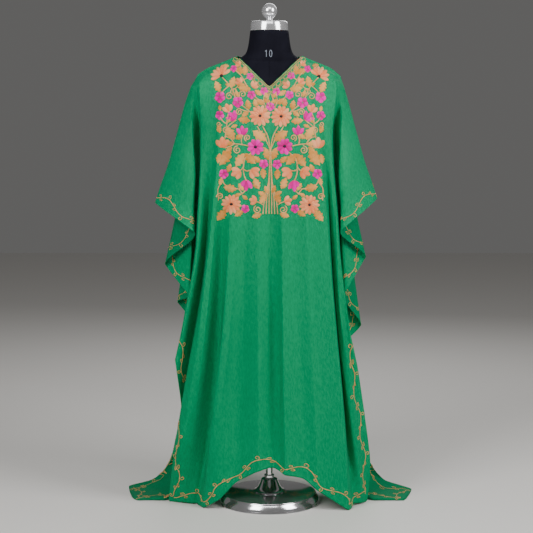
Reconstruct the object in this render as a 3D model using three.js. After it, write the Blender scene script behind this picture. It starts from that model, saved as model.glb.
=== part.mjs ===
// A floor-length kaftan of green crepe, hanging on a limbless dress form on a pole and a round foot.
// Millimetres, Z up, the front faces -Y, and the origin is the middle of the foot's underside.
import * as THREE from "three";

// Driving sizes
const wall = 1.2; // cloth, with its narrow hem turned in
const seamGap = 0.3; // between the front and the back along the shoulders
const formGap = 8; // from the middle of the cloth to the form under it
const chestHeight = 1150;
const floorLift = 0.3;

const neckHalfWidth = 96;
const neckHeight = 1381;
const neckPointHeight = 1289; // lowest point of the front opening
const backNeckDrop = 8;

const capRadius = 57.5;
const capHeight = 28.5;
const capRound = 6;
const finialRadius = 23.5;
const finialFlange = 13;
const finialStem = 30; // from the cap to the middle of the ball
const poleRadius = 10.5;
const footRadius = 160;
const footRimHeight = 30;
const bellRadius = 50;
const bellHeight = 41;
const collarRadius = 15.5; // ring round the pole, on the bell
const collarLength = 12;
const longStep = 60; // a taller gap between two rings of the form gets one more ring

const rowsDown = [0, 0.015, 0.04, 0.07, 0.115, 0.17, 0.24, 0.33, 0.43, 0.54, 0.66, 0.77, 0.87, 0.935, 0.967, 1];
const stops = [0, 0.07, 0.24, 0.6, 0.86, 1]; // top, collar, chest, hip, ankle and foot of a fold
const collarShares = [0.2, 0.55, 0.22]; // collar of a fold: how far from its top to its chest, by axis
const hipShare = 0.55; // heights of hip and ankle: shares of the way from the foot up to the chest
const ankleShare = 0.2;
const neckCurve = 1.08; // 1 is a straight side of the V
const seamDepth = 0.5; // least distance of a panel's top edge from the shoulder seam's plane
const slipShare = 0.35; // how far a rounded fold slides along its own fall
const fallStep = 0.02;
const gather = 0.11; // facets crowd towards the folds

// Shoulder line, from the neck to the sleeve end of the form's shoulder, then the ridge of the sleeve
const shoulderRight = [
  { at: "neck", x: -96, z: 1381 },
  { at: "shoulder", x: -144, z: 1361 },
  { at: "shoulder end", x: -185, z: 1345 },
  { at: "sleeve head", x: -216, z: 1326 },
];
const shoulderLeft = [
  { at: "neck", x: 96, z: 1381 },
  { at: "shoulder", x: 141, z: 1363 },
  { at: "shoulder end", x: 186, z: 1344 },
  { at: "sleeve head", x: 215, z: 1321 },
];

// Folds of the front, from the ridge of the wearer's right sleeve to the ridge of the left one.
// top: 0 at the sleeve head, 1 at the neck, 2 at the middle of the neckline, 4 at the other sleeve head.
// chest, hip and ankle are x and y on the way down; foot is where the fold reaches the sleeve opening or the hem.
// strips: facets to the next fold; soft: how widely the fold is rounded.
const frontFolds = [
  { fold: "right sleeve ridge", top: 0, collar: [-243, 0, 1276], chest: [-281, 0], hip: [-309, 0], ankle: [-336, 0], foot: [-350, 0, 937], strips: 4, soft: 0.8 },
  { fold: "right cascade in 1", top: 0.12, collar: [-239, -22, 1278], chest: [-233, -60], hip: [-224, -90], foot: [-227, -110, 856], strips: 4, soft: 0.95 },
  { fold: "right cascade out 1", top: 0.18, collar: [-232, -35, 1281], chest: [-223, -43], foot: [-317, -30, 746], strips: 4, soft: 0.95 },
  { fold: "right cascade in 2", top: 0.23, collar: [-226, -43, 1283], chest: [-217, -29], foot: [-243, -80, 660], strips: 4, soft: 0.95 },
  { fold: "right cascade out 2", top: 0.28, collar: [-221, -49, 1285], chest: [-211, -21], foot: [-280, -38, 632], strips: 3, soft: 0.95 },
  { fold: "right sleeve valley", top: 0.35, collar: [-216, -55, 1287], chest: [-206, -26], foot: [-226, -52, 553], strips: 4, soft: 0.95 },
  { fold: "right side ridge", top: 0.5, collar: [-209, -63, 1290], chest: [-204, -80], hip: [-214, -121], ankle: [-254, -116], foot: [-285, -100, 462], strips: 4, soft: 0.8 },
  { fold: "right side valley", top: 0.66, chest: [-163, -108], hip: [-196, -82], ankle: [-242, -66], foot: [-271, -55, 291], strips: 3, soft: 0.8 },
  { fold: "right edge", top: 0.74, chest: [-153, -119], hip: [-199, -121], ankle: [-262, -98], foot: [-297, -55, 156], strips: 2, soft: 0.8 },
  { fold: "right corner", top: 0.78, chest: [-147, -123], hip: [-201, -138], ankle: [-264, -98], foot: [-314, -8, 4], strips: 2, soft: 0.8 },
  { fold: "right swell", top: 0.86, chest: [-139, -125], hip: [-184, -135], ankle: [-236, -90], foot: [-270, -28, 3], strips: 2, soft: 1 },
  { fold: "right front valley", top: 0.93, chest: [-129, -122], hip: [-160, -108], ankle: [-196, -74], foot: [-234, -44, 3], strips: 3, soft: 0.8 },
  { fold: "right front ridge", top: 1.12, chest: [-104, -127], hip: [-134, -139], ankle: [-180, -117], foot: [-202, -82, 2], strips: 2, soft: 0.8 },
  { fold: "right hem rise", top: 1.3, chest: [-85, -129], hip: [-108, -136], ankle: [-146, -124], foot: [-157, -108, 31], strips: 2, soft: 1 },
  { fold: "right soft valley", top: 1.5, chest: [-66, -129], hip: [-76, -127], ankle: [-88, -117], foot: [-95, -120, 94], strips: 2, soft: 1 },
  { fold: "right middle", top: 1.75, chest: [-33, -130], hip: [-34, -141], ankle: [-34, -140], foot: [-34, -136, 128], strips: 2, soft: 1 },
  { fold: "middle", top: 2, chest: [0, -127], hip: [3, -133], ankle: [7, -126], foot: [8, -126, 136], strips: 2, soft: 1 },
  { fold: "left middle", top: 2.25, chest: [33, -130], hip: [38, -141], ankle: [43, -139], foot: [47, -134, 117], strips: 2, soft: 1 },
  { fold: "left soft valley", top: 2.5, chest: [66, -130], hip: [80, -130], ankle: [93, -121], foot: [100, -120, 103], strips: 2, soft: 1 },
  { fold: "left hem rise", top: 2.75, chest: [98, -129], hip: [122, -137], ankle: [140, -129], foot: [149, -120, 63], strips: 3, soft: 1 },
  { fold: "left front ridge", top: 3.02, chest: [143, -123], hip: [190, -142], ankle: [228, -131], foot: [241, -110, 2], strips: 3, soft: 0.7 },
  { fold: "left front valley", top: 3.14, chest: [160, -105], hip: [199, -77], ankle: [234, -58], foot: [262, -62, 8], strips: 3, soft: 0.8 },
  { fold: "left swell", top: 3.24, chest: [166, -103], hip: [204, -102], ankle: [256, -82], foot: [290, -34, 4], strips: 1, soft: 1 },
  { fold: "left corner", top: 3.3, chest: [173, -99], hip: [210, -111], ankle: [277, -64], foot: [306, -6, 4], strips: 2, soft: 0.8 },
  { fold: "left edge", top: 3.36, chest: [181, -94], hip: [206, -112], ankle: [269, -69], foot: [313, -25, 146], strips: 2, soft: 0.8 },
  { fold: "left side ridge", top: 3.5, collar: [200, -62, 1288], chest: [190, -80], hip: [204, -113], ankle: [238, -104], foot: [268, -74, 444], strips: 4, soft: 0.8 },
  { fold: "left sleeve valley", top: 3.65, collar: [205, -54, 1284], chest: [192, -26], foot: [233, -50, 506], strips: 3, soft: 0.95 },
  { fold: "left cascade out 2", top: 3.72, collar: [210, -48, 1282], chest: [197, -21], foot: [281, -32, 560], strips: 3, soft: 0.95 },
  { fold: "left cascade in 2", top: 3.77, collar: [215, -42, 1280], chest: [202, -29], foot: [227, -80, 663], strips: 4, soft: 0.95 },
  { fold: "left cascade out 1", top: 3.82, collar: [220.5, -34, 1278], chest: [208, -42], foot: [293, -30, 768], strips: 4, soft: 0.95 },
  { fold: "left cascade in 1", top: 3.88, collar: [227, -21, 1275], chest: [218, -58], hip: [211, -88], foot: [217, -106, 860], strips: 4, soft: 0.95 },
  { fold: "left sleeve ridge", top: 4, collar: [231, 0, 1273], chest: [266, 0], hip: [292, 0], ankle: [317, 0], foot: [330, 0, 950], strips: 0, soft: 0.8 },
];

// Folds of the back, in the same order and with the same columns
const backFolds = [
  { fold: "right sleeve ridge", top: 0, collar: [-243, 0, 1276], chest: [-281, 0], hip: [-309, 0], ankle: [-336, 0], foot: [-350, 0, 937], strips: 4, soft: 0.8 },
  { fold: "right cascade in 1", top: 0.12, collar: [-239, 22, 1278], chest: [-233, 60], hip: [-227, 84], foot: [-232, 102, 868], strips: 4, soft: 0.95 },
  { fold: "right cascade out 1", top: 0.18, collar: [-232, 35, 1281], chest: [-223, 43], foot: [-305, 32, 772], strips: 4, soft: 0.95 },
  { fold: "right cascade in 2", top: 0.23, collar: [-226, 43, 1283], chest: [-217, 29], foot: [-240, 80, 686], strips: 4, soft: 0.95 },
  { fold: "right cascade out 2", top: 0.28, collar: [-221, 49, 1285], chest: [-211, 21], foot: [-282, 40, 634], strips: 4, soft: 0.95 },
  { fold: "right sleeve valley", top: 0.35, collar: [-216, 55, 1287], chest: [-206, 26], foot: [-226, 54, 556], strips: 3, soft: 0.95 },
  { fold: "right side ridge", top: 0.5, collar: [-207, 70, 1290], chest: [-204, 80], hip: [-210, 116], ankle: [-246, 110], foot: [-272, 98, 470], strips: 3, soft: 0.8 },
  { fold: "right side valley", top: 0.7, chest: [-162, 104], hip: [-190, 86], ankle: [-232, 68], foot: [-260, 58, 300], strips: 3, soft: 0.8 },
  { fold: "right edge", top: 0.77, chest: [-152, 113], hip: [-200, 116], ankle: [-272, 95], foot: [-316, 115, 98], strips: 2, soft: 0.8 },
  { fold: "right edge end", top: 0.81, chest: [-147, 117], hip: [-199, 122], ankle: [-275, 109], heel: [-326, 123, 54], foot: [-383, 146, 28], strips: 2, soft: 1 },
  { fold: "right corner", top: 0.84, chest: [-141, 119], hip: [-197, 128], ankle: [-264, 109], heel: [-338, 92, 26], foot: [-456, 165, 2], strips: 3, soft: 1 },
  { fold: "right trail", top: 0.9, chest: [-133, 121], hip: [-188, 130], ankle: [-250, 95], heel: [-328, 54, 18], foot: [-427, 18, 2], strips: 2, soft: 1 },
  { fold: "right trail end", top: 0.95, chest: [-124, 122], hip: [-176, 126], ankle: [-242, 86], heel: [-304, 34, 20], foot: [-352, -42, 2], strips: 2, soft: 1 },
  { fold: "right tuck", top: 1.02, chest: [-115, 122], hip: [-160, 120], ankle: [-226, 82], heel: [-264, 58, 40], foot: [-296, 36, 3], strips: 3, soft: 0.8 },
  { fold: "right back ridge", top: 1.2, chest: [-90, 122], hip: [-118, 140], ankle: [-166, 134], foot: [-214, 116, 3], strips: 3, soft: 0.8 },
  { fold: "right back valley", top: 1.5, chest: [-56, 118], hip: [-70, 116], ankle: [-96, 116], foot: [-120, 124, 44], strips: 3, soft: 1 },
  { fold: "middle back ridge", top: 1.9, chest: [-10, 120], hip: [-14, 140], ankle: [-16, 148], foot: [-18, 152, 74], strips: 3, soft: 1 },
  { fold: "left back valley", top: 2.4, chest: [46, 118], hip: [56, 114], ankle: [76, 112], foot: [92, 118, 58], strips: 3, soft: 1 },
  { fold: "left back ridge", top: 2.85, chest: [92, 121], hip: [120, 140], ankle: [160, 136], foot: [200, 118, 3], strips: 3, soft: 0.8 },
  { fold: "left tuck", top: 3.02, chest: [116, 121], hip: [154, 118], ankle: [214, 80], heel: [252, 56, 40], foot: [288, 36, 3], strips: 2, soft: 0.8 },
  { fold: "left trail end", top: 3.08, chest: [125, 121], hip: [172, 126], ankle: [238, 85], heel: [296, 38, 22], foot: [346, -18, 2], strips: 2, soft: 1 },
  { fold: "left trail", top: 3.13, chest: [133, 120], hip: [184, 130], ankle: [246, 94], heel: [324, 52, 20], foot: [420, -8, 2], strips: 2, soft: 1 },
  { fold: "left corner", top: 3.18, chest: [140, 117], hip: [192, 128], ankle: [260, 108], heel: [336, 86, 28], foot: [459, 132, 2], strips: 2, soft: 1 },
  { fold: "left edge end", top: 3.22, chest: [145, 115], hip: [194, 121], ankle: [270, 108], heel: [325, 114, 56], foot: [378, 124, 31], strips: 2, soft: 1 },
  { fold: "left edge", top: 3.26, chest: [150, 111], hip: [196, 114], ankle: [268, 93], foot: [318, 104, 104], strips: 3, soft: 0.8 },
  { fold: "left side valley", top: 3.32, chest: [160, 102], hip: [190, 84], ankle: [232, 68], foot: [258, 60, 310], strips: 3, soft: 0.8 },
  { fold: "left side ridge", top: 3.5, collar: [198, 69, 1288], chest: [190, 80], hip: [201, 112], ankle: [232, 106], foot: [256, 96, 470], strips: 3, soft: 0.8 },
  { fold: "left sleeve valley", top: 3.65, collar: [205, 54, 1284], chest: [192, 26], foot: [222, 54, 540], strips: 4, soft: 0.95 },
  { fold: "left cascade out 2", top: 3.72, collar: [210, 48, 1282], chest: [197, 21], foot: [272, 40, 606], strips: 4, soft: 0.95 },
  { fold: "left cascade in 2", top: 3.77, collar: [215, 42, 1280], chest: [202, 29], foot: [227, 80, 684], strips: 4, soft: 0.95 },
  { fold: "left cascade out 1", top: 3.82, collar: [220.5, 34, 1278], chest: [208, 42], foot: [284, 32, 780], strips: 4, soft: 0.95 },
  { fold: "left cascade in 1", top: 3.88, collar: [227, 21, 1275], chest: [218, 58], hip: [212, 82], foot: [217, 100, 872], strips: 4, soft: 0.95 },
  { fold: "left sleeve ridge", top: 4, collar: [231, 0, 1273], chest: [266, 0], hip: [292, 0], ankle: [317, 0], foot: [330, 0, 950], strips: 0, soft: 0.8 },
];

// Level rings of the form: half width, depth to the front and to the back, and squareness
const formRings = [
  { z: 622, half: 155.5, front: 95.5, back: 101.5, square: 2.2 },
  { z: 730, half: 160.5, front: 100.5, back: 107.5, square: 2.2 },
  { z: 850, half: 135.5, front: 92.5, back: 92.5, square: 2.1 },
  { z: 930, half: 116.5, front: 85.5, back: 77.5, square: 2.1 },
  { z: 1050, half: 134.5, front: 103.5, back: 85.5, square: 2.2 },
  { z: 1100, half: 146.5, front: 115.5, back: 94.5, square: 2.2 },
  { z: 1150, half: 157.5, front: 120.5, back: 103.5, square: 2.3 },
  { z: 1200, half: 173.5, front: 110.5, back: 109.5, square: 2.3 },
  { z: 1260, half: 195.5, front: 93.5, back: 107.5, square: 2.3 },
  { z: 1295, half: 205.5, front: 81.5, back: 101.5, square: 2.3 },
  { z: 1318, half: 200.5, front: 73.5, back: 94.5, square: 2.3 },
  { z: 1338, half: 172, front: 69.5, back: 87.5, square: 2.2 },
  { z: 1353, half: 135, front: 65, back: 78, square: 2.1 },
  { z: 1366, half: 103, front: 62, back: 73, square: 2 },
  { z: 1377, half: 84.5, front: 63, back: 71, square: 2 },
  { z: 1390, half: 71, front: 63, back: 65, square: 2 },
  { z: 1410, half: 64.5, front: 61, back: 62, square: 2 },
  { z: 1456, half: 58, front: 57, back: 58, square: 2 },
];

// Smooth curve through a list of values at rising stops, without overshoot
function through(at, values, t) {
  const rate = (j) => (values[j + 1] - values[j]) / (at[j + 1] - at[j]);
  const slope = (j) => {
    if (j === 0) return rate(0);
    if (j === at.length - 1) return rate(j - 1);
    const before = rate(j - 1);
    const after = rate(j);
    if (before * after <= 0) return 0;
    const spanBefore = at[j] - at[j - 1];
    const spanAfter = at[j + 1] - at[j];
    const a = 2 * spanAfter + spanBefore;
    const b = spanAfter + 2 * spanBefore;
    return (a + b) / (a / before + b / after);
  };
  let i = 0;
  while (i < at.length - 2 && t > at[i + 1]) i += 1;
  const span = at[i + 1] - at[i];
  const f = (t - at[i]) / span;
  const rise = values[i + 1] - values[i];
  const early = slope(i) * span;
  const late = slope(i + 1) * span;
  return values[i] + f * early + f * f * (3 * rise - 2 * early - late) + f * f * f * (early + late - 2 * rise);
}

const ringHeights = formRings.map((ring) => ring.z);
const ringColumn = (name) => formRings.map((ring) => ring[name]);
const columns = {
  half: ringColumn("half"),
  front: ringColumn("front"),
  back: ringColumn("back"),
  square: ringColumn("square"),
};

function formRing(z) {
  const height = Math.min(Math.max(z, ringHeights[0]), ringHeights[ringHeights.length - 1]);
  const value = (name) => through(ringHeights, columns[name], height);
  return { half: value("half"), front: value("front"), back: value("back"), square: value("square") };
}

// Depth of the form, to the side given, at a place seen from the front
function formDepth(x, z, side) {
  const ring = formRing(z);
  const share = Math.abs(x) / (ring.half + formGap);
  if (share >= 1 || z < ringHeights[0]) return 0;
  return (ring[side] + formGap) * (1 - share ** ring.square) ** (1 / ring.square);
}

function alongShoulder(line, share) {
  const at = line.map((_, i) => i / (line.length - 1));
  return [through(at, line.map((p) => p.x), share), 0, through(at, line.map((p) => p.z), share)];
}

// Top of a fold: on the shoulder seam up to 1 and from 3, on the neckline between
function topOf(place, side) {
  const sign = side === "front" ? -1 : 1;
  if (place <= 1) return alongShoulder(shoulderRight, 1 - place);
  if (place >= 3) return alongShoulder(shoulderLeft, place - 3);
  const across = place - 2;
  const x = neckHalfWidth * across;
  const drop = side === "front"
    ? (neckHeight - neckPointHeight) * (1 - Math.abs(across) ** neckCurve)
    : backNeckDrop * (1 - across * across);
  const z = neckHeight - drop;
  const y = Math.max(formDepth(x, z, side), seamDepth);
  return [x, sign * y, z];
}

const vector = (from, to) => new THREE.Vector3(...to).sub(new THREE.Vector3(...from));
const mix = (a, b, f) => a.map((v, i) => v + (b[i] - v) * f);

function foldLine(row, side) {
  const top = topOf(row.top, side);
  const foot = row.foot;
  const run = chestHeight - foot[2];
  const between = (place, z, share) => [...(place || mix(row.chest, foot, share)), z];
  const chest = [...row.chest, chestHeight];
  const hip = between(row.hip, foot[2] + hipShare * run, 1 - hipShare);
  const ankle = between(row.ankle, foot[2] + ankleShare * run, 1 - ankleShare);
  const collar = row.collar || top.map((v, axis) => v + (chest[axis] - v) * collarShares[axis]);
  const points = [top, collar, chest, hip, ankle, foot];
  const at = [...stops];
  if (row.heel) {
    const down = vector(ankle, row.heel).length();
    const share = down / (down + vector(row.heel, foot).length());
    points.splice(5, 0, row.heel);
    at.splice(5, 0, stops[4] + (stops[5] - stops[4]) * share);
  }
  return (t) => [0, 1, 2].map((axis) => through(at, points.map((p) => p[axis]), t));
}

// Middle of the cloth as a grid: one line of points per facet edge, each from the top down
function panelGrid(folds, side) {
  const sign = side === "front" ? -1 : 1;
  const lines = folds.map((row) => foldLine(row, side));
  const grid = [];
  for (const t of rowsDown) {
    const knots = lines.map((line) => line(t));
    const last = knots.length - 1;
    const mirrored = (p) => [p[0], -p[1], p[2]];
    const tangent = (k) => {
      const before = vector(k === 0 ? mirrored(knots[1]) : knots[k - 1], knots[k]);
      const after = vector(knots[k], k === last ? mirrored(knots[last - 1]) : knots[k + 1]);
      const fall = vector(lines[k](Math.max(t - fallStep, 0)), lines[k](Math.min(t + fallStep, 1))).normalize();
      const slip = slipShare * (before.dot(fall) + after.dot(fall));
      before.addScaledVector(fall, -before.dot(fall));
      after.addScaledVector(fall, -after.dot(fall));
      const reach = Math.min(before.length(), after.length()) * folds[k].soft;
      const turn = before.normalize().add(after.normalize()).normalize().multiplyScalar(reach);
      return turn.addScaledVector(fall, slip).toArray();
    };
    const row = [];
    for (let k = 0; k < knots.length - 1; k += 1) {
      const from = knots[k];
      const to = knots[k + 1];
      const leave = tangent(k);
      const arrive = tangent(k + 1);
      for (let s = 0; s < folds[k].strips; s += 1) {
        const even = s / folds[k].strips;
        const f = even - gather * Math.sin(2 * Math.PI * even);
        row.push(from.map((v, i) => {
          const rise = to[i] - v;
          return v + f * leave[i] + f * f * (3 * rise - 2 * leave[i] - arrive[i])
            + f * f * f * (leave[i] + arrive[i] - 2 * rise);
        }));
      }
    }
    row.push(knots[knots.length - 1]);
    for (const p of row) {
      const depth = formDepth(p[0], p[2], side);
      p[1] = sign * Math.max(sign * p[1], depth, seamGap / 2);
      p[2] = Math.max(p[2], wall / 2 + floorLift);
    }
    grid.push(row);
  }
  return grid;
}

// Outward direction at each point of a grid, from the facets that meet there
function gridNormals(grid, side) {
  const rows = grid.length;
  const count = grid[0].length;
  const sign = side === "front" ? 1 : -1;
  const normals = grid.map((row) => row.map(() => new THREE.Vector3()));
  const facet = new THREE.Vector3();
  for (let r = 0; r < rows - 1; r += 1) {
    for (let c = 0; c < count - 1; c += 1) {
      const falling = vector(grid[r][c], grid[r + 1][c + 1]);
      const rising = vector(grid[r + 1][c], grid[r][c + 1]);
      facet.crossVectors(falling, rising).normalize().multiplyScalar(sign);
      for (const [i, j] of [[r, c], [r + 1, c], [r + 1, c + 1], [r, c + 1]]) normals[i][j].add(facet);
    }
  }
  for (const row of normals) row.forEach((normal) => normal.normalize());
  return normals;
}

// Closed wall on both sides of a grid
function wallFromGrid(grid, side) {
  const sign = side === "front" ? -1 : 1;
  const normals = gridNormals(grid, side);
  const rows = grid.length;
  const count = grid[0].length;
  const positions = [];
  for (const direction of [1, -1]) {
    for (let r = 0; r < rows; r += 1) {
      for (let c = 0; c < count; c += 1) {
        const p = new THREE.Vector3(...grid[r][c]).addScaledVector(normals[r][c], direction * wall / 2);
        positions.push(p.x, sign * Math.max(sign * p.y, seamGap / 2), Math.max(p.z, floorLift));
      }
    }
  }
  const outer = (r, c) => r * count + c;
  const inner = (r, c) => rows * count + r * count + c;
  const faces = [];
  const quad = (p, q, s, u) => (side === "front" ? faces.push(p, q, s, p, s, u) : faces.push(p, s, q, p, u, s));
  const turnedQuad = (p, q, s, u) => (side === "front" ? faces.push(p, q, u, q, s, u) : faces.push(p, u, q, q, u, s));
  for (let r = 0; r < rows - 1; r += 1) {
    for (let c = 0; c < count - 1; c += 1) {
      const falling = vector(grid[r][c], grid[r + 1][c + 1]).length();
      const rising = vector(grid[r + 1][c], grid[r][c + 1]).length();
      if (falling <= rising) {
        quad(outer(r, c), outer(r + 1, c), outer(r + 1, c + 1), outer(r, c + 1));
        quad(inner(r, c), inner(r, c + 1), inner(r + 1, c + 1), inner(r + 1, c));
      } else {
        turnedQuad(outer(r, c), outer(r + 1, c), outer(r + 1, c + 1), outer(r, c + 1));
        turnedQuad(inner(r, c), inner(r, c + 1), inner(r + 1, c + 1), inner(r + 1, c));
      }
    }
  }
  for (let c = 0; c < count - 1; c += 1) {
    quad(outer(0, c), outer(0, c + 1), inner(0, c + 1), inner(0, c));
    quad(outer(rows - 1, c + 1), outer(rows - 1, c), inner(rows - 1, c), inner(rows - 1, c + 1));
  }
  for (let r = 0; r < rows - 1; r += 1) {
    quad(outer(r + 1, 0), outer(r, 0), inner(r, 0), inner(r + 1, 0));
    quad(outer(r, count - 1), outer(r + 1, count - 1), inner(r + 1, count - 1), inner(r, count - 1));
  }
  const geometry = new THREE.BufferGeometry();
  geometry.setAttribute("position", new THREE.Float32BufferAttribute(positions, 3));
  geometry.setIndex(faces);
  return geometry;
}

// Smooth closed torso from level rings
function formGeometry() {
  const around = 36;
  const heights = [];
  for (let i = 0; i < ringHeights.length - 1; i += 1) {
    const steps = ringHeights[i + 1] - ringHeights[i] > longStep ? 2 : 1;
    for (let s = 0; s < steps; s += 1) {
      heights.push(ringHeights[i] + (ringHeights[i + 1] - ringHeights[i]) * s / steps);
    }
  }
  heights.push(ringHeights[ringHeights.length - 1]);
  const positions = [];
  for (const z of heights) {
    const ring = formRing(z);
    for (let i = 0; i < around; i += 1) {
      const angle = 2 * Math.PI * i / around;
      const c = Math.cos(angle);
      const s = Math.sin(angle);
      const depth = s < 0 ? ring.front : ring.back;
      positions.push(
        ring.half * Math.sign(c) * Math.abs(c) ** (2 / ring.square),
        depth * Math.sign(s) * Math.abs(s) ** (2 / ring.square),
        z,
      );
    }
  }
  const bottom = heights.length * around;
  positions.push(0, 0, heights[0], 0, 0, heights[heights.length - 1]);
  const faces = [];
  for (let i = 0; i < around; i += 1) {
    const j = (i + 1) % around;
    for (let r = 0; r < heights.length - 1; r += 1) {
      const a = r * around + i;
      const b = r * around + j;
      faces.push(a, b, b + around, a, b + around, a + around);
    }
    faces.push(bottom, j, i);
    faces.push(bottom + 1, (heights.length - 1) * around + i, (heights.length - 1) * around + j);
  }
  const geometry = new THREE.BufferGeometry();
  geometry.setAttribute("position", new THREE.Float32BufferAttribute(positions, 3));
  geometry.setIndex(faces);
  return geometry;
}

// Round part about the Z axis; profile of [radius, height] from the lower axis end to the upper one
function turned(profile, facets) {
  const geometry = new THREE.LatheGeometry(profile.map(([r, z]) => new THREE.Vector2(r, z)), facets);
  geometry.rotateX(Math.PI / 2);
  return geometry;
}

function arc(radius, centreR, centreZ, from, to, steps) {
  const points = [];
  for (let i = 0; i <= steps; i += 1) {
    const angle = (from + (to - from) * i / steps) * Math.PI / 180;
    points.push([centreR + radius * Math.cos(angle), centreZ + radius * Math.sin(angle)]);
  }
  return points;
}

const colours = { cloth: "#07a86c", form: "#14141c", chrome: "#c9ccd0" };
const group = new THREE.Group();
group.name = "kaftan_on_dress_form";

function add(name, geometry, colour, shine) {
  const material = new THREE.MeshStandardMaterial({
    color: colour,
    metalness: shine,
    roughness: shine ? 0.12 : 0.75,
    side: THREE.DoubleSide,
  });
  const mesh = new THREE.Mesh(geometry, material);
  mesh.name = name;
  group.add(mesh);
}

add("kaftan_front", wallFromGrid(panelGrid(frontFolds, "front"), "front"), colours.cloth, 0);
add("kaftan_back", wallFromGrid(panelGrid(backFolds, "back"), "back"), colours.cloth, 0);
add("form_torso", formGeometry(), colours.form, 0);

const capFoot = ringHeights[ringHeights.length - 1] + seamGap;
const capTop = capFoot + capHeight;
add("form_neck_cap", turned([
  [0, capFoot],
  [capRadius - 1, capFoot],
  [capRadius, capFoot + 1],
  [capRadius - 1.5, capTop - 7],
  ...arc(capRound, capRadius - capRound - 2, capTop - capRound, 0, 90, 4),
  [0, capTop],
], 40), colours.chrome, 1);

const ballCentre = capTop + seamGap + finialStem;
add("form_finial", turned([
  [0, capTop + seamGap],
  [finialFlange, capTop + seamGap],
  [finialFlange, capTop + seamGap + 2.5],
  [8, capTop + seamGap + 4.5],
  [6.8, capTop + seamGap + 7],
  ...arc(finialRadius, 0, ballCentre, -73, 80, 9),
  [0, ballCentre + finialRadius],
], 28), colours.chrome, 1);

const bellTop = footRimHeight + 2 + bellHeight;
add("form_pole", turned([
  [0, footRimHeight + 3],
  [poleRadius, footRimHeight + 3],
  [poleRadius, ringHeights[0] - seamGap],
  [0, ringHeights[0] - seamGap],
], 28), colours.chrome, 1);

const bore = poleRadius + seamGap;
const collarFoot = bellTop + 1;
add("form_pole_collar", turned([
  [bore, collarFoot],
  [collarRadius - 1.5, collarFoot],
  [collarRadius, collarFoot + 2],
  [collarRadius, collarFoot + collarLength - 3],
  [collarRadius - 2.5, collarFoot + collarLength],
  [bore, collarFoot + collarLength],
  [bore, collarFoot],
], 32), colours.chrome, 1);

add("form_pole_bell", turned([
  [bore, footRimHeight + 7],
  [bellRadius, footRimHeight + 3.6],
  [bellRadius, footRimHeight + 6],
  [44, footRimHeight + 11],
  [36, footRimHeight + 22],
  [30, footRimHeight + 33],
  [25, bellTop - 1],
  [21, bellTop + 0.7],
  [bore, bellTop + 0.7],
  [bore, footRimHeight + 7],
], 40), colours.chrome, 1);

add("form_foot", turned([
  [0, 0],
  [footRadius - 2, 0],
  [footRadius, 2],
  [footRadius - 4, 8],
  [footRadius - 13, footRimHeight - 2],
  [footRadius - 15, footRimHeight],
  [bellRadius, footRimHeight + 3],
  [bore, footRimHeight + 6.5],
  [bore, footRimHeight + 2.5],
  [0, footRimHeight + 2.5],
], 56), colours.chrome, 1);

export default group;
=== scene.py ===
# Kaftan of green crepe with an embroidered bib and borders, hanging on a dress form.
# The scene is in metres; the tables and sizes below are in millimetres.
import math
import random
import bmesh
import bpy
import numpy as np
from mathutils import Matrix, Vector
from mathutils.bvhtree import BVHTree


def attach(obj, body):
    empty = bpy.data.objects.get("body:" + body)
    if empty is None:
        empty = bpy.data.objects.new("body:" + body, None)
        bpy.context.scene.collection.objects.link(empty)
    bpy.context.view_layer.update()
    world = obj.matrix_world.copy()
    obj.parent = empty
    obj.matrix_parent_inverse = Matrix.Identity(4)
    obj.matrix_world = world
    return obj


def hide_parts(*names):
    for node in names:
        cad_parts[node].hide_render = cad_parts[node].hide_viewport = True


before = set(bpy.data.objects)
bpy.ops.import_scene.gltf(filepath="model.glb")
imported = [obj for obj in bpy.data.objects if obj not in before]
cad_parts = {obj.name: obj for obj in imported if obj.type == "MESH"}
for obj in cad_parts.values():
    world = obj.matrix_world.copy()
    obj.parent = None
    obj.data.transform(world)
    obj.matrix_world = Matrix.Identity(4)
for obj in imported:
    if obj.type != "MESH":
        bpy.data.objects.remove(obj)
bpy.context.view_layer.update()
mm = 0.001
scene = bpy.context.scene


# Rows of values under the names of their columns; a blank has no entry
def table(columns, rows):
    names = columns.split()
    return [{name: value for name, value in zip(names, row) if value is not None} for row in rows]


# Cut and hang of the cloth; the same values as its solids
cloth = {
    "formGap": 8,            # middle of the cloth to the form
    "seamGap": 0.3,          # front to back along the shoulders
    "lowest": 1.0,           # middle of the cloth over the floor
    "floorGap": 0.3,         # its lower face over the floor
    "chestHeight": 1150,
    "neckHalfWidth": 96,
    "neckHeight": 1381,
    "neckPointHeight": 1289,
    "neckBow": 1.08,         # 1 is a straight V
    "backNeckDrop": 8,
    "thickness": 0.7,
    "hemThickness": 1.5,
    "rowSteps": 9,           # fine rows to one row of the solid
    "stripSteps": 3,         # fine strips to one strip of the solid
    "crowding": 0.11,        # how much finer the strips are beside a fold
    "slip": 0.35,            # how far the strips follow the slope between uneven folds
    "collarShares": (0.2, 0.55, 0.22),   # x, y and z of a blank collar, from the top to the chest
}
# Places of the solid's rows, and of the named points of a fold, as shares of the way down
rowsDown = [0, 0.015, 0.04, 0.07, 0.115, 0.17, 0.24, 0.33, 0.43, 0.54, 0.66, 0.77, 0.87, 0.935, 0.967, 1]
stops = [0, 0.07, 0.24, 0.6, 0.86, 1]
outward = {"front": -1, "back": 1}

# Line over the shoulders, from the neck outwards
shoulderRight = table("at x z", [
    ("neck", -96, 1381),
    ("shoulder", -144, 1361),
    ("shoulder end", -185, 1345),
    ("sleeve head", -216, 1326),
])
shoulderLeft = table("at x z", [
    ("neck", 96, 1381),
    ("shoulder", 141, 1363),
    ("shoulder end", 186, 1344),
    ("sleeve head", 215, 1321),
])
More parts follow.
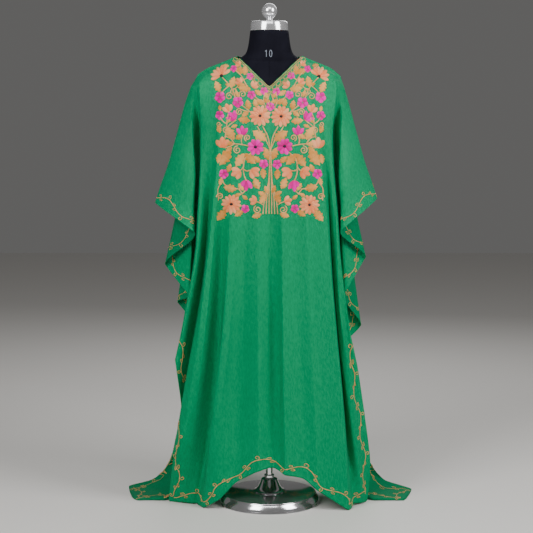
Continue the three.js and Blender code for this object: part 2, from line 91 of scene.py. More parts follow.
# Fold lines from the wearer's right sleeve to the left one, each from the top edge to the hem.
# top: place along the top edge (0 to 1 right shoulder, 1 to 3 neck, 3 to 4 left shoulder);
# strips: strips of the solid up to the next fold; soft: roundness of the fold;
# chest, hip, ankle: x and y there; collar, heel and foot: x, y and z. Blanks are worked out.
frontFolds = table("fold top strips soft chest foot hip ankle collar heel", [
    ("right sleeve ridge", 0, 4, 0.8, (-281, 0), (-350, 0, 937), (-309, 0), (-336, 0), (-243, 0, 1276)),
    ("right cascade in 1", 0.12, 4, 0.95, (-233, -60), (-227, -110, 856), (-224, -90), None,
     (-239, -22, 1278)),
    ("right cascade out 1", 0.18, 4, 0.95, (-223, -43), (-317, -30, 746), None, None, (-232, -35, 1281)),
    ("right cascade in 2", 0.23, 4, 0.95, (-217, -29), (-243, -80, 660), None, None, (-226, -43, 1283)),
    ("right cascade out 2", 0.28, 3, 0.95, (-211, -21), (-280, -38, 632), None, None, (-221, -49, 1285)),
    ("right sleeve valley", 0.35, 4, 0.95, (-206, -26), (-226, -52, 553), None, None, (-216, -55, 1287)),
    ("right side ridge", 0.5, 4, 0.8, (-204, -80), (-285, -100, 462), (-214, -121), (-254, -116),
     (-209, -63, 1290)),
    ("right side valley", 0.66, 3, 0.8, (-163, -108), (-271, -55, 291), (-196, -82), (-242, -66)),
    ("right edge", 0.74, 2, 0.8, (-153, -119), (-297, -55, 156), (-199, -121), (-262, -98)),
    ("right corner", 0.78, 2, 0.8, (-147, -123), (-314, -8, 4), (-201, -138), (-264, -98)),
    ("right swell", 0.86, 2, 1, (-139, -125), (-270, -28, 3), (-184, -135), (-236, -90)),
    ("right front valley", 0.93, 3, 0.8, (-129, -122), (-234, -44, 3), (-160, -108), (-196, -74)),
    ("right front ridge", 1.12, 2, 0.8, (-104, -127), (-202, -82, 2), (-134, -139), (-180, -117)),
    ("right hem rise", 1.3, 2, 1, (-85, -129), (-157, -108, 31), (-108, -136), (-146, -124)),
    ("right soft valley", 1.5, 2, 1, (-66, -129), (-95, -120, 94), (-76, -127), (-88, -117)),
    ("right middle", 1.75, 2, 1, (-33, -130), (-34, -136, 128), (-34, -141), (-34, -140)),
    ("middle", 2, 2, 1, (0, -127), (8, -126, 136), (3, -133), (7, -126)),
    ("left middle", 2.25, 2, 1, (33, -130), (47, -134, 117), (38, -141), (43, -139)),
    ("left soft valley", 2.5, 2, 1, (66, -130), (100, -120, 103), (80, -130), (93, -121)),
    ("left hem rise", 2.75, 3, 1, (98, -129), (149, -120, 63), (122, -137), (140, -129)),
    ("left front ridge", 3.02, 3, 0.7, (143, -123), (241, -110, 2), (190, -142), (228, -131)),
    ("left front valley", 3.14, 3, 0.8, (160, -105), (262, -62, 8), (199, -77), (234, -58)),
    ("left swell", 3.24, 1, 1, (166, -103), (290, -34, 4), (204, -102), (256, -82)),
    ("left corner", 3.3, 2, 0.8, (173, -99), (306, -6, 4), (210, -111), (277, -64)),
    ("left edge", 3.36, 2, 0.8, (181, -94), (313, -25, 146), (206, -112), (269, -69)),
    ("left side ridge", 3.5, 4, 0.8, (190, -80), (268, -74, 444), (204, -113), (238, -104),
     (200, -62, 1288)),
    ("left sleeve valley", 3.65, 3, 0.95, (192, -26), (233, -50, 506), None, None, (205, -54, 1284)),
    ("left cascade out 2", 3.72, 3, 0.95, (197, -21), (281, -32, 560), None, None, (210, -48, 1282)),
    ("left cascade in 2", 3.77, 4, 0.95, (202, -29), (227, -80, 663), None, None, (215, -42, 1280)),
    ("left cascade out 1", 3.82, 4, 0.95, (208, -42), (293, -30, 768), None, None, (220.5, -34, 1278)),
    ("left cascade in 1", 3.88, 4, 0.95, (218, -58), (217, -106, 860), (211, -88), None, (227, -21, 1275)),
    ("left sleeve ridge", 4, 0, 0.8, (266, 0), (330, 0, 950), (292, 0), (317, 0), (231, 0, 1273)),
])
backFolds = table("fold top strips soft chest foot hip ankle collar heel", [
    ("right sleeve ridge", 0, 4, 0.8, (-281, 0), (-350, 0, 937), (-309, 0), (-336, 0), (-243, 0, 1276)),
    ("right cascade in 1", 0.12, 4, 0.95, (-233, 60), (-232, 102, 868), (-227, 84), None, (-239, 22, 1278)),
    ("right cascade out 1", 0.18, 4, 0.95, (-223, 43), (-305, 32, 772), None, None, (-232, 35, 1281)),
    ("right cascade in 2", 0.23, 4, 0.95, (-217, 29), (-240, 80, 686), None, None, (-226, 43, 1283)),
    ("right cascade out 2", 0.28, 4, 0.95, (-211, 21), (-282, 40, 634), None, None, (-221, 49, 1285)),
    ("right sleeve valley", 0.35, 3, 0.95, (-206, 26), (-226, 54, 556), None, None, (-216, 55, 1287)),
    ("right side ridge", 0.5, 3, 0.8, (-204, 80), (-272, 98, 470), (-210, 116), (-246, 110),
     (-207, 70, 1290)),
    ("right side valley", 0.7, 3, 0.8, (-162, 104), (-260, 58, 300), (-190, 86), (-232, 68)),
    ("right edge", 0.77, 2, 0.8, (-152, 113), (-316, 115, 98), (-200, 116), (-272, 95)),
    ("right edge end", 0.81, 2, 1, (-147, 117), (-383, 146, 28), (-199, 122), (-275, 109), None,
     (-326, 123, 54)),
    ("right corner", 0.84, 3, 1, (-141, 119), (-456, 165, 2), (-197, 128), (-264, 109), None,
     (-338, 92, 26)),
    ("right trail", 0.9, 2, 1, (-133, 121), (-427, 18, 2), (-188, 130), (-250, 95), None, (-328, 54, 18)),
    ("right trail end", 0.95, 2, 1, (-124, 122), (-352, -42, 2), (-176, 126), (-242, 86), None,
     (-304, 34, 20)),
    ("right tuck", 1.02, 3, 0.8, (-115, 122), (-296, 36, 3), (-160, 120), (-226, 82), None, (-264, 58, 40)),
    ("right back ridge", 1.2, 3, 0.8, (-90, 122), (-214, 116, 3), (-118, 140), (-166, 134)),
    ("right back valley", 1.5, 3, 1, (-56, 118), (-120, 124, 44), (-70, 116), (-96, 116)),
    ("middle back ridge", 1.9, 3, 1, (-10, 120), (-18, 152, 74), (-14, 140), (-16, 148)),
    ("left back valley", 2.4, 3, 1, (46, 118), (92, 118, 58), (56, 114), (76, 112)),
    ("left back ridge", 2.85, 3, 0.8, (92, 121), (200, 118, 3), (120, 140), (160, 136)),
    ("left tuck", 3.02, 2, 0.8, (116, 121), (288, 36, 3), (154, 118), (214, 80), None, (252, 56, 40)),
    ("left trail end", 3.08, 2, 1, (125, 121), (346, -18, 2), (172, 126), (238, 85), None, (296, 38, 22)),
    ("left trail", 3.13, 2, 1, (133, 120), (420, -8, 2), (184, 130), (246, 94), None, (324, 52, 20)),
    ("left corner", 3.18, 2, 1, (140, 117), (459, 132, 2), (192, 128), (260, 108), None, (336, 86, 28)),
    ("left edge end", 3.22, 2, 1, (145, 115), (378, 124, 31), (194, 121), (270, 108), None, (325, 114, 56)),
    ("left edge", 3.26, 3, 0.8, (150, 111), (318, 104, 104), (196, 114), (268, 93)),
    ("left side valley", 3.32, 3, 0.8, (160, 102), (258, 60, 310), (190, 84), (232, 68)),
    ("left side ridge", 3.5, 3, 0.8, (190, 80), (256, 96, 470), (201, 112), (232, 106), (198, 69, 1288)),
    ("left sleeve valley", 3.65, 4, 0.95, (192, 26), (222, 54, 540), None, None, (205, 54, 1284)),
    ("left cascade out 2", 3.72, 4, 0.95, (197, 21), (272, 40, 606), None, None, (210, 48, 1282)),
    ("left cascade in 2", 3.77, 4, 0.95, (202, 29), (227, 80, 684), None, None, (215, 42, 1280)),
    ("left cascade out 1", 3.82, 4, 0.95, (208, 42), (284, 32, 780), None, None, (220.5, 34, 1278)),
    ("left cascade in 1", 3.88, 4, 0.95, (218, 58), (217, 100, 872), (212, 82), None, (227, 21, 1275)),
    ("left sleeve ridge", 4, 0, 0.8, (266, 0), (330, 0, 950), (292, 0), (317, 0), (231, 0, 1273)),
])
# Level rings of the form: half its width, its depths in front and behind, and how square it is
formRings = table("z half front back square", [
    (622, 155.5, 95.5, 101.5, 2.2),
    (730, 160.5, 100.5, 107.5, 2.2),
    (850, 135.5, 92.5, 92.5, 2.1),
    (930, 116.5, 85.5, 77.5, 2.1),
    (1050, 134.5, 103.5, 85.5, 2.2),
    (1100, 146.5, 115.5, 94.5, 2.2),
    (1150, 157.5, 120.5, 103.5, 2.3),
    (1200, 173.5, 110.5, 109.5, 2.3),
    (1260, 195.5, 93.5, 107.5, 2.3),
    (1295, 205.5, 81.5, 101.5, 2.3),
    (1318, 200.5, 73.5, 94.5, 2.3),
    (1338, 172, 69.5, 87.5, 2.2),
    (1353, 135, 65, 78, 2.1),
    (1366, 103, 62, 73, 2),
    (1377, 84.5, 63, 71, 2),
    (1390, 71, 63, 65, 2),
    (1410, 64.5, 61, 62, 2),
    (1456, 58, 57, 58, 2),
])


# Smooth step f of the way up a rise, with given slopes at its two ends
def eased(start, rise, leave, arrive, f):
    return (start + f * leave + f ** 2 * (3 * rise - 2 * leave - arrive)
            + f ** 3 * (leave + arrive - 2 * rise))


# Smooth curve through rows of values at rising stops, without overshoot
def through(at, values, t):
    at = np.asarray(at, float)
    values = np.asarray(values, float)
    t = np.asarray(t, float)
    span = np.diff(at)[:, None]
    rate = np.diff(values, axis=0) / span
    slope = np.zeros_like(values)
    slope[0] = rate[0]
    slope[-1] = rate[-1]
    before, after = rate[:-1], rate[1:]
    a = 2 * span[1:] + span[:-1]
    b = span[1:] + 2 * span[:-1]
    with np.errstate(divide="ignore", invalid="ignore"):
        slope[1:-1] = np.where(before * after > 0, (a + b) / (a / before + b / after), 0)
    i = np.clip(np.searchsorted(at, t, side="left") - 1, 0, len(at) - 2)
    f = ((t - at[i]) / span[i, 0])[:, None]
    return eased(values[i], values[i + 1] - values[i], slope[i] * span[i], slope[i + 1] * span[i], f)


ringHeights = [ring["z"] for ring in formRings]
ringTable = [[ring[key] for key in ("half", "front", "back", "square")] for ring in formRings]


def ringAt(z):
    return through(ringHeights, ringTable, np.clip(np.atleast_1d(z), ringHeights[0], ringHeights[-1]))


# Depth of the form with its gap under a place seen from the front, 0 beside it
def formDepth(x, z, side):
    gap = cloth["formGap"]
    half, ahead, behind, square = ringAt(z).T
    depth = (ahead if side == "front" else behind) + gap
    share = np.abs(np.atleast_1d(x)) / (half + gap)
    inside = np.clip(1 - np.clip(share, 0, 1) ** square, 0, 1) ** (1 / square)
    return np.where((share < 1) & (np.atleast_1d(z) >= ringHeights[0]), depth * inside, 0)


# Height of the front neckline at a share of the way from its point to the shoulder
def neckHeightAt(share):
    top, point = cloth["neckHeight"], cloth["neckPointHeight"]
    return top - (top - point) * (1 - share ** cloth["neckBow"])


# Point of the top edge: along the shoulders, or round the neck on the form
def topOf(place, side):
    if place <= 1 or place >= 3:
        line = shoulderRight if place <= 1 else shoulderLeft
        share = 1 - place if place <= 1 else place - 3
        x, z = through(np.linspace(0, 1, len(line)), [[p["x"], p["z"]] for p in line], [share])[0]
        return np.array([x, 0, z])
    across = place - 2
    x = cloth["neckHalfWidth"] * across
    if side == "front":
        z = neckHeightAt(abs(across))
    else:
        z = cloth["neckHeight"] - cloth["backNeckDrop"] * (1 - across * across)
    return np.array([x, outward[side] * max(formDepth(x, z, side)[0], 0.5), z])


# Fold line from the top edge to the hem, at shares t of the way down
def foldPoints(row, side, t):
    top = topOf(row["top"], side)
    foot = np.array(row["foot"], float)
    chest = np.array([*row["chest"], cloth["chestHeight"]], float)
    run = cloth["chestHeight"] - foot[2]

    def between(name, up, share):
        flat = row[name] if name in row else (chest + (foot - chest) * share)[:2]
        return np.array([*flat, foot[2] + up * run], float)

    if "collar" in row:
        collar = np.array(row["collar"], float)
    else:
        collar = top + (chest - top) * cloth["collarShares"]
    ankle = between("ankle", 0.2, 0.8)
    points = [top, collar, chest, between("hip", 0.55, 0.45), ankle, foot]
    at = list(stops)
    if "heel" in row:
        heel = np.array(row["heel"], float)
        down = np.linalg.norm(heel - ankle)
        share = down / (down + np.linalg.norm(foot - heel))
        points.insert(5, heel)
        at.insert(5, stops[4] + (stops[5] - stops[4]) * share)
    return through(at, points, t)


def lengthOf(v):
    return np.linalg.norm(v, axis=-1, keepdims=True)


def unit(v):
    return v / np.maximum(lengthOf(v), 1e-9)


def along(v, direction):
    return (v * direction).sum(-1, keepdims=True)


def gridNormals(grid, side):
    return unit(np.cross(np.gradient(grid, axis=0), np.gradient(grid, axis=1))) * -outward[side]


# Length run from the first point of a line to each
def runsOf(line):
    return np.concatenate([[0], np.cumsum(lengthOf(np.diff(line, axis=0))[:, 0])])


# Places on a line at the given lengths along it
def placesAlong(line, runs, at):
    return np.stack([np.interp(at, runs, line[:, axis]) for axis in range(line.shape[1])], -1)


# Corners of every cell of a grid of numbers
def cells(index):
    return np.stack([index[:-1, :-1], index[1:, :-1], index[1:, 1:], index[:-1, 1:]], -1).reshape(-1, 4)


# Soft troughs and ridges that the fold lines leave out.
# at: fold number and share to the next; top and foot: where it starts and ends on the way down;
# depth: millimetres outwards; wide: half width in strips between folds; lean: drift on the way down.
frontCreases = table("at top foot depth wide lean", [
    (10.5, 0.3, 0.9, -4, 0.3, 0.2),
    (11.35, 0.4, 1.14, -17, 0.34, -0.15),
    (12.45, 0.38, 1.1, 5, 0.44, 0.1),
    (13.95, 0.42, 1.1, -9, 0.5, 0),
    (15.1, 0.46, 1.1, 4.5, 0.42, 0.1),
    (16.3, 0.36, 1.16, -17, 0.56, 0.05),
    (17.1, 0.18, 1.14, 8, 0.36, -0.15),
    (18.2, 0.56, 1.12, -4, 0.44, 0.2),
    (18.8, 0.2, 0.66, 3, 0.3, 0.2),
    (19.5, 0.36, 1.1, -10, 0.36, 0),
    (21.5, 0.34, 0.95, 4.5, 0.3, 0.1),
    (0.5, 0.2, 0.9, 6, 0.22, 0.1),
    (1.5, 0.25, 1.1, -5, 0.22, 0.1),
    (30.4, 0.22, 1, 6, 0.22, -0.1),
    (29.5, 0.3, 1.1, -5, 0.2, 0.1),
    (6.5, 0.3, 0.9, 5, 0.25, 0.2),
    (25.5, 0.3, 0.9, 5, 0.25, -0.2),
])
backCreases = table("at top foot depth wide lean", [
    (13.5, 0.16, 0.85, 6.8, 0.28, 0.3),
    (14.5, 0.24, 1, -5.8, 0.26, 0.1),
    (15.4, 0.34, 1.08, 5.4, 0.24, -0.2),
    (16.5, 0.4, 1.1, -5.1, 0.26, 0.2),
    (17.5, 0.26, 0.96, 6.1, 0.26, -0.1),
    (18.5, 0.18, 0.8, -6.1, 0.28, -0.3),
    (9.5, 0.35, 0.92, -4.4, 0.25, 0.2),
    (23.5, 0.35, 0.92, -4.4, 0.25, -0.2),
    (0.5, 0.2, 0.9, -6.8, 0.22, 0.1),
    (31.4, 0.22, 1, -6.8, 0.22, -0.1),
])


def withCreases(grid, side, t, place, creases):
    push = np.zeros(grid.shape[:2])
    for crease in creases:
        share = np.clip((t - crease["top"]) / (crease["foot"] - crease["top"]), 0, 1)
        window = np.sin(np.pi * share) ** 1.3
        centre = crease["at"] + crease["lean"] * share
        beside = (place[None] - centre[:, None]) / crease["wide"]
        push += crease["depth"] * window[:, None] * np.exp(-beside ** 2)
    return grid + gridNormals(grid, side) * push[..., None]


# Depths held outside a least depth, away from the middle of the body
def clearOf(y, side, least):
    return outward[side] * np.maximum(outward[side] * y, least)


# Surface of a panel: fine rows down the folds and fine strips from fold to fold, its outward
# directions, and the column of each fold. The cloth crosses a fold in the mean direction to the
# folds beside it; past the first and last ones stands the other panel, taken as a mirror image.
def panelSurface(folds, side, creases):
    steps = cloth["rowSteps"]
    t = np.interp(np.arange((len(rowsDown) - 1) * steps + 1) / steps, np.arange(len(rowsDown)), rowsDown)

    def foldsAt(shares):
        return np.stack([foldPoints(row, side, shares) for row in folds], axis=1)

    knots = foldsAt(t)
    step = 0.02
    fall = unit(foldsAt(np.minimum(t + step, 1)) - foldsAt(np.maximum(t - step, 0)))
    otherPanel = [1, -1, 1]
    padded = np.concatenate([knots[:, 1:2] * otherPanel, knots, knots[:, -2:-1] * otherPanel], axis=1)
    before = knots - padded[:, :-2]
    after = padded[:, 2:] - knots
    slip = cloth["slip"] * (along(before, fall) + along(after, fall))
    before = before - fall * along(before, fall)
    after = after - fall * along(after, fall)
    soft = np.array([row["soft"] for row in folds])[None, :, None]
    reach = np.minimum(lengthOf(before), lengthOf(after)) * soft
    tangent = unit(unit(before) + unit(after)) * reach + fall * slip
    columns, place, foldColumn = [], [], {}
    for k, row in enumerate(folds[:-1]):
        foldColumn[row["fold"]] = len(columns)
        count = row["strips"] * cloth["stripSteps"]
        rise = knots[:, k + 1] - knots[:, k]
        for s in range(count):
            even = s / count
            f = even - cloth["crowding"] * math.sin(2 * math.pi * even)
            columns.append(eased(knots[:, k], rise, tangent[:, k], tangent[:, k + 1], f))
            place.append(k + even)
    foldColumn[folds[-1]["fold"]] = len(columns)
    columns.append(knots[:, -1])
    place.append(len(folds) - 1)
    grid = withCreases(np.stack(columns, axis=1), side, t, np.array(place), creases)
    depth = formDepth(grid[..., 0].ravel(), grid[..., 2].ravel(), side).reshape(grid.shape[:2])
    grid[..., 1] = clearOf(grid[..., 1], side, np.maximum(depth, cloth["seamGap"] / 2))
    grid[..., 2] = np.maximum(grid[..., 2], cloth["lowest"])
    return {"grid": grid * mm, "normal": gridNormals(grid, side), "side": side, "foldColumn": foldColumn}


front = panelSurface(frontFolds, "front", frontCreases)
back = panelSurface(backFolds, "back", backCreases)
print("cloth surfaces", front["grid"].shape, back["grid"].shape)


def inScene(name, data):
    made = bpy.data.objects.new(name, data)
    scene.collection.objects.link(made)
    return made


def put(name, verts, faces, material, smooth=True, uvs=None):
    mesh = bpy.data.meshes.new(name)
    mesh.from_pydata([tuple(v) for v in verts], [], [tuple(f) for f in faces])
    if uvs is not None:
        layer = mesh.uv_layers.new(name="UVMap")
        corner = np.empty(len(mesh.loops), dtype=np.int32)
        mesh.loops.foreach_get("vertex_index", corner)
        layer.data.foreach_set("uv", np.asarray(uvs, float)[corner].ravel())
    mesh.polygons.foreach_set("use_smooth", [smooth] * len(mesh.polygons))
    mesh.update()
    for one in material if isinstance(material, list) else [material]:
        mesh.materials.append(one)
    return inScene(name, mesh)


# Thin closed shell on a panel's surface, thicker along the turned hems; its map is in metres of cloth
def clothShell(name, panel, outerMaterial, innerMaterial):
    grid, normal, side = panel["grid"], panel["normal"], panel["side"]
    rows, count = grid.shape[:2]
    half = np.full((rows, count, 1), cloth["thickness"] / 2 * mm)
    half[-2:] = cloth["hemThickness"] / 2 * mm
    half[:2] = cloth["hemThickness"] / 2 * mm
    walls = []
    for direction in (1, -1):
        wall = grid + normal * half * direction
        wall[..., 1] = clearOf(wall[..., 1], side, cloth["seamGap"] / 2 * mm)
        wall[..., 2] = np.maximum(wall[..., 2], cloth["floorGap"] * mm)
        walls.append(wall.reshape(-1, 3))
    verts = np.concatenate(walls)
    index = np.arange(rows * count).reshape(rows, count)
    outer = cells(index)
    inner = outer[:, ::-1] + rows * count
    rim = np.concatenate([index[0, ::-1], index[1:, 0], index[-1, 1:], index[-2:0:-1, -1]])
    nextRim = np.roll(rim, -1)
    sides = np.stack([nextRim, rim, rim + rows * count, nextRim + rows * count], 1)
    faces = np.concatenate([outer, inner, sides])
    if side == "back":
        faces = faces[:, ::-1]
    widths = np.cumsum(np.pad(lengthOf(np.diff(grid, axis=1))[..., 0], ((0, 0), (1, 0))), axis=1)
    widths -= widths[:, count // 2][:, None]
    drops = np.cumsum(np.pad(lengthOf(np.diff(grid, axis=0))[..., 0], ((1, 0), (0, 0))), axis=0)
    flat = np.stack([widths, drops], -1).reshape(-1, 2)
    materials = [outerMaterial, innerMaterial]
    piece = put(name, verts, faces.tolist(), materials, uvs=np.concatenate([flat, flat]))
    slots = np.zeros(len(faces), dtype=np.int32)
    slots[len(outer):len(outer) + len(inner)] = 1
    piece.data.polygons.foreach_set("material_index", slots)
    return piece


# Tree of the panel's cells for finding places on the cloth
def panelTree(panel):
    grid = panel["grid"]
    index = np.arange(grid.shape[0] * grid.shape[1]).reshape(grid.shape[:2])
    return BVHTree.FromPolygons(grid.reshape(-1, 3).tolist(), cells(index).tolist())


edgeReach = 8 * mm            # for the direction of an edge
front["tree"], back["tree"] = panelTree(front), panelTree(back)


# Place on the cloth nearest to a point, and the smooth outward direction there
def nearestOn(panel, point):
    hit, _, quad, _ = panel["tree"].find_nearest(point)
    r, c = divmod(quad, panel["grid"].shape[1] - 1)
    corners, normals = (panel[key][r:r + 2, c:c + 2].reshape(-1, 3) for key in ("grid", "normal"))
    weight = 1 / (((corners - np.array(hit)) ** 2).sum(1) + 1e-9)
    return hit, Vector((normals * weight[:, None]).sum(0)).normalized()


# Walks over the cloth from a point, straight on in its own direction
def walkOn(panel, point, out, direction, distance, pace=2.5 * mm):
    steps = max(1, math.ceil(distance / pace))
    for _ in range(steps):
        direction = (direction - out * direction.dot(out)).normalized()
        point, newOut = nearestOn(panel, point + direction * (distance / steps))
        if newOut.dot(out) > 0:
            out = newOut
    return point, out


# Points of a pattern beside an edge: run along the edge from its start, depth in from it
def besideEdge(panel, row, firstColumn, lastColumn, run, depth):
    span = slice(firstColumn, lastColumn + 1)
    edge = panel["grid"][row, span]
    runs = runsOf(edge)
    start = placesAlong(edge, runs, run)
    outs = unit(placesAlong(panel["normal"][row, span], runs, run))
    later = placesAlong(edge, runs, np.minimum(run + edgeReach, runs[-1]))
    sooner = placesAlong(edge, runs, np.maximum(run - edgeReach, 0))
    inwards = unit(np.cross(outs, unit(later - sooner)))
    second = panel["grid"][row - 2 if row == -1 else row + 2, span]
    if along(inwards, placesAlong(second, runs, run) - start).sum() < 0:
        inwards = -inwards
    made = [walkOn(panel, Vector(point), Vector(out), Vector(inward), far)
            for point, out, inward, far in zip(start, outs, inwards, depth)]
    return np.array([point for point, _ in made]), np.array([out for _, out in made])


def edgeLength(panel, row, firstColumn, lastColumn):
    return lengthOf(np.diff(panel["grid"][row, firstColumn:lastColumn + 1], axis=0)).sum()


# Node with its settings and the values of its inputs
def node(tree, kind, **values):
    made = tree.nodes.new(kind)
    for key, value in values.items():
        if hasattr(made, key):
            setattr(made, key, value)
        else:
            made.inputs[key.replace("_", " ")].default_value = value
    return made


# Texture over the piece's own coordinates or its map
def texture(tree, kind, source="Object", **values):
    made = node(tree, kind, **values)
    place = tree.nodes.new("ShaderNodeTexCoord")
    tree.links.new(place.outputs[source], made.inputs["Vector"])
    return made


# Fine crinkle of crepe: short upright furrows
def crinkleGroup():
    tree = bpy.data.node_groups.new("crepeCrinkle", "ShaderNodeTree")
    for label, value in (("Fine", 190.0), ("Upright", 0.4)):
        socket = tree.interface.new_socket(label, in_out="INPUT", socket_type="NodeSocketFloat")
        socket.default_value = value
    tree.interface.new_socket("Height", in_out="OUTPUT", socket_type="NodeSocketFloat")
    given, out = node(tree, "NodeGroupInput"), node(tree, "NodeGroupOutput")
    place = tree.nodes.new("ShaderNodeTexCoord")
    stretch = node(tree, "ShaderNodeVectorMath", operation="MULTIPLY")
    combine = node(tree, "ShaderNodeCombineXYZ", X=1, Y=1)
    fine = node(tree, "ShaderNodeTexNoise", Detail=3.0, Roughness=0.65)
    tree.links.new(given.outputs["Upright"], combine.inputs["Z"])
    tree.links.new(place.outputs["Object"], stretch.inputs[0])
    tree.links.new(combine.outputs[0], stretch.inputs[1])
    tree.links.new(stretch.outputs[0], fine.inputs["Vector"])
    tree.links.new(given.outputs["Fine"], fine.inputs["Scale"])
    tree.links.new(fine.outputs["Fac"], out.inputs["Height"])
    return tree


# Short names for a surface's settings
surfaceInputs = {
    "colour": "Base Color",
    "roughness": "Roughness",
    "metallic": "Metallic",
    "specular": "Specular IOR Level",
    "glint": "Specular Tint",
    "sheen": "Sheen Weight",
    "sheenTint": "Sheen Tint",
}


def finish(name, **values):
    material = bpy.data.materials.new(name)
    material.use_nodes = True
    shader = material.node_tree.nodes["Principled BSDF"]
    for key, value in values.items():
        shader.inputs[surfaceInputs[key]].default_value = value
    return material, material.node_tree, shader


# Base colour that goes from one colour to another as a value rises
def ramp(tree, source, low, high, shader, start=0.3, end=0.7):
    made = tree.nodes.new("ShaderNodeValToRGB")
    for stop, place, colour in zip(made.color_ramp.elements, (start, end), (low, high)):
        stop.position = place
        stop.color = (*colour, 1)
    tree.links.new(source, made.inputs["Fac"])
    tree.links.new(made.outputs["Color"], shader.inputs["Base Color"])


def bump(tree, height, shader, strength, distance):
    made = node(tree, "ShaderNodeBump", Strength=strength, Distance=distance)
    tree.links.new(height, made.inputs["Height"])
    tree.links.new(made.outputs["Normal"], shader.inputs["Normal"])


crinkle = crinkleGroup()

# Look of the cloth
crepe = {
    # lit and deep: colours on the crinkle's tops and in its furrows, painted light and painted shade that
    # follow the crinkle's height
    "lit": (0.0, 0.37, 0.15),
    "deep": (0.0, 0.27, 0.1),
    # Reverse face: a darker copy of the same green, painted shade for the inside of the cloth
    "shadedReverseLit": (0.0, 0.25, 0.1),
    "shadedReverseDeep": (0.0, 0.2, 0.075),
    "through": (0.0, 0.4, 0.14),
    "furrows": 190,          # a metre
    "furrowDepth": 0.003,    # metres
    "furrowStrength": 0.8,
    "glint": (0.1, 1.0, 0.5, 1),
    "sheer": 0.16,           # share of light that comes through
}


def crepeMaterial(name, deep, lit):
    glint = crepe["glint"]
    material, tree, shader = finish(name, roughness=0.55, specular=0.22, glint=glint, sheen=0.03,
                                    sheenTint=glint)
    furrows = node(tree, "ShaderNodeGroup", node_tree=crinkle)
    furrows.inputs["Fine"].default_value = crepe["furrows"]
    # Base colour from the crinkle's height: painted shade in the furrows and painted light on the tops
    ramp(tree, furrows.outputs["Height"], deep, lit, shader)
    bump(tree, furrows.outputs["Height"], shader, crepe["furrowStrength"], crepe["furrowDepth"])
    sheer = node(tree, "ShaderNodeBsdfTranslucent", Color=(*crepe["through"], 1))
    mixed = node(tree, "ShaderNodeMixShader", Fac=crepe["sheer"])
    tree.links.new(shader.outputs[0], mixed.inputs[1])
    tree.links.new(sheer.outputs[0], mixed.inputs[2])
    tree.links.new(mixed.outputs[0], tree.nodes["Material Output"].inputs["Surface"])
    return material


# Thread laid side by side: fine lines across a piece's own map
def threadMaterial(name, low, high, sheen=0.2):
    material, tree, shader = finish(name, roughness=0.42, sheen=sheen)
    lines = texture(tree, "ShaderNodeTexWave", "UV", Scale=260.0, Distortion=2.0, Detail=1.0,
                    Detail_Scale=3.0)
    tone = texture(tree, "ShaderNodeTexNoise", Scale=90.0, Detail=2.0)
    ramp(tree, tone.outputs["Fac"], low, high, shader, start=0.35, end=0.65)
    bump(tree, lines.outputs["Fac"], shader, strength=0.5, distance=0.0006)
    return material


crepeOuter = crepeMaterial("greenCrepe", crepe["deep"], crepe["lit"])
# Inner faces of the cloth: the darker copy, painted shade for the cloth's inside
crepeShadedInner = crepeMaterial("greenCrepeShadedReverse", crepe["shadedReverseDeep"], crepe["shadedReverseLit"])
threads = {
    "border": threadMaterial("borderThread", (0.62, 0.27, 0.07), (0.78, 0.42, 0.14)),
    "tan": threadMaterial("tanThread", (0.62, 0.29, 0.08), (0.82, 0.45, 0.16)),
    "black": threadMaterial("blackThread", (0.002, 0.002, 0.003), (0.006, 0.006, 0.008), sheen=0.0),
}

frontCloth = clothShell("kaftanFront", front, crepeOuter, crepeShadedInner)
backCloth = clothShell("kaftanBack", back, crepeOuter, crepeShadedInner)
print("cloth shells", len(frontCloth.data.polygons), len(backCloth.data.polygons))


# Dress form: knit cover over a smooth torso, and its bright metal
form = {
    "around": 96,
    "ringSteps": 5,
    "cover": (0.004, 0.004, 0.008),
    "coverWorn": (0.009, 0.009, 0.016),
    "chrome": (0.86, 0.86, 0.88, 1),
    "smears": (0.08, 0.2),   # roughness, least and most
}
metal = {
    "capRadius": 57.5,
    "capFoot": 1456.3,
    "capHeight": 28.5,
    "finialRadius": 23.5,
    "poleRadius": 10.5,
    "footRadius": 160,
    "rimHeight": 30,
    "bellRadius": 50,
    "bellHeight": 41,
    "gap": 0.3,
}


def coverMaterial():
    material, tree, shader = finish("formKnit", roughness=0.8, specular=0.08)
    loops = texture(tree, "ShaderNodeTexVoronoi", Scale=900.0)
    worn = texture(tree, "ShaderNodeTexNoise", Scale=14.0, Detail=4.0)
    ramp(tree, worn.outputs["Fac"], form["cover"], form["coverWorn"], shader)
    bump(tree, loops.outputs["Distance"], shader, strength=0.35, distance=0.0006)
    return material


def chromeMaterial(name, metallic):
    material, tree, shader = finish(name, colour=form["chrome"], roughness=0.12, metallic=metallic)
    smear = texture(tree, "ShaderNodeTexNoise", Scale=22.0, Detail=5.0)
    spread = node(tree, "ShaderNodeMapRange", To_Min=form["smears"][0], To_Max=form["smears"][1])
    tree.links.new(smear.outputs["Fac"], spread.inputs["Value"])
    tree.links.new(spread.outputs["Result"], shader.inputs["Roughness"])
    return material


knit = coverMaterial()
satinChrome = chromeMaterial("satinChrome", 0.8)
polishedChrome = chromeMaterial("polishedChrome", 0.95)


# Points of the torso's skin at angles round it, 0 to the left and rising to the back
def onForm(angle, z):
    half, ahead, behind, square = ringAt(z).T
    c, s = np.cos(angle), np.sin(angle)
    x = half * np.sign(c) * np.abs(c) ** (2 / square)
    y = np.where(s < 0, ahead, behind) * np.sign(s) * np.abs(s) ** (2 / square)
    return np.stack([x, y, z], -1)


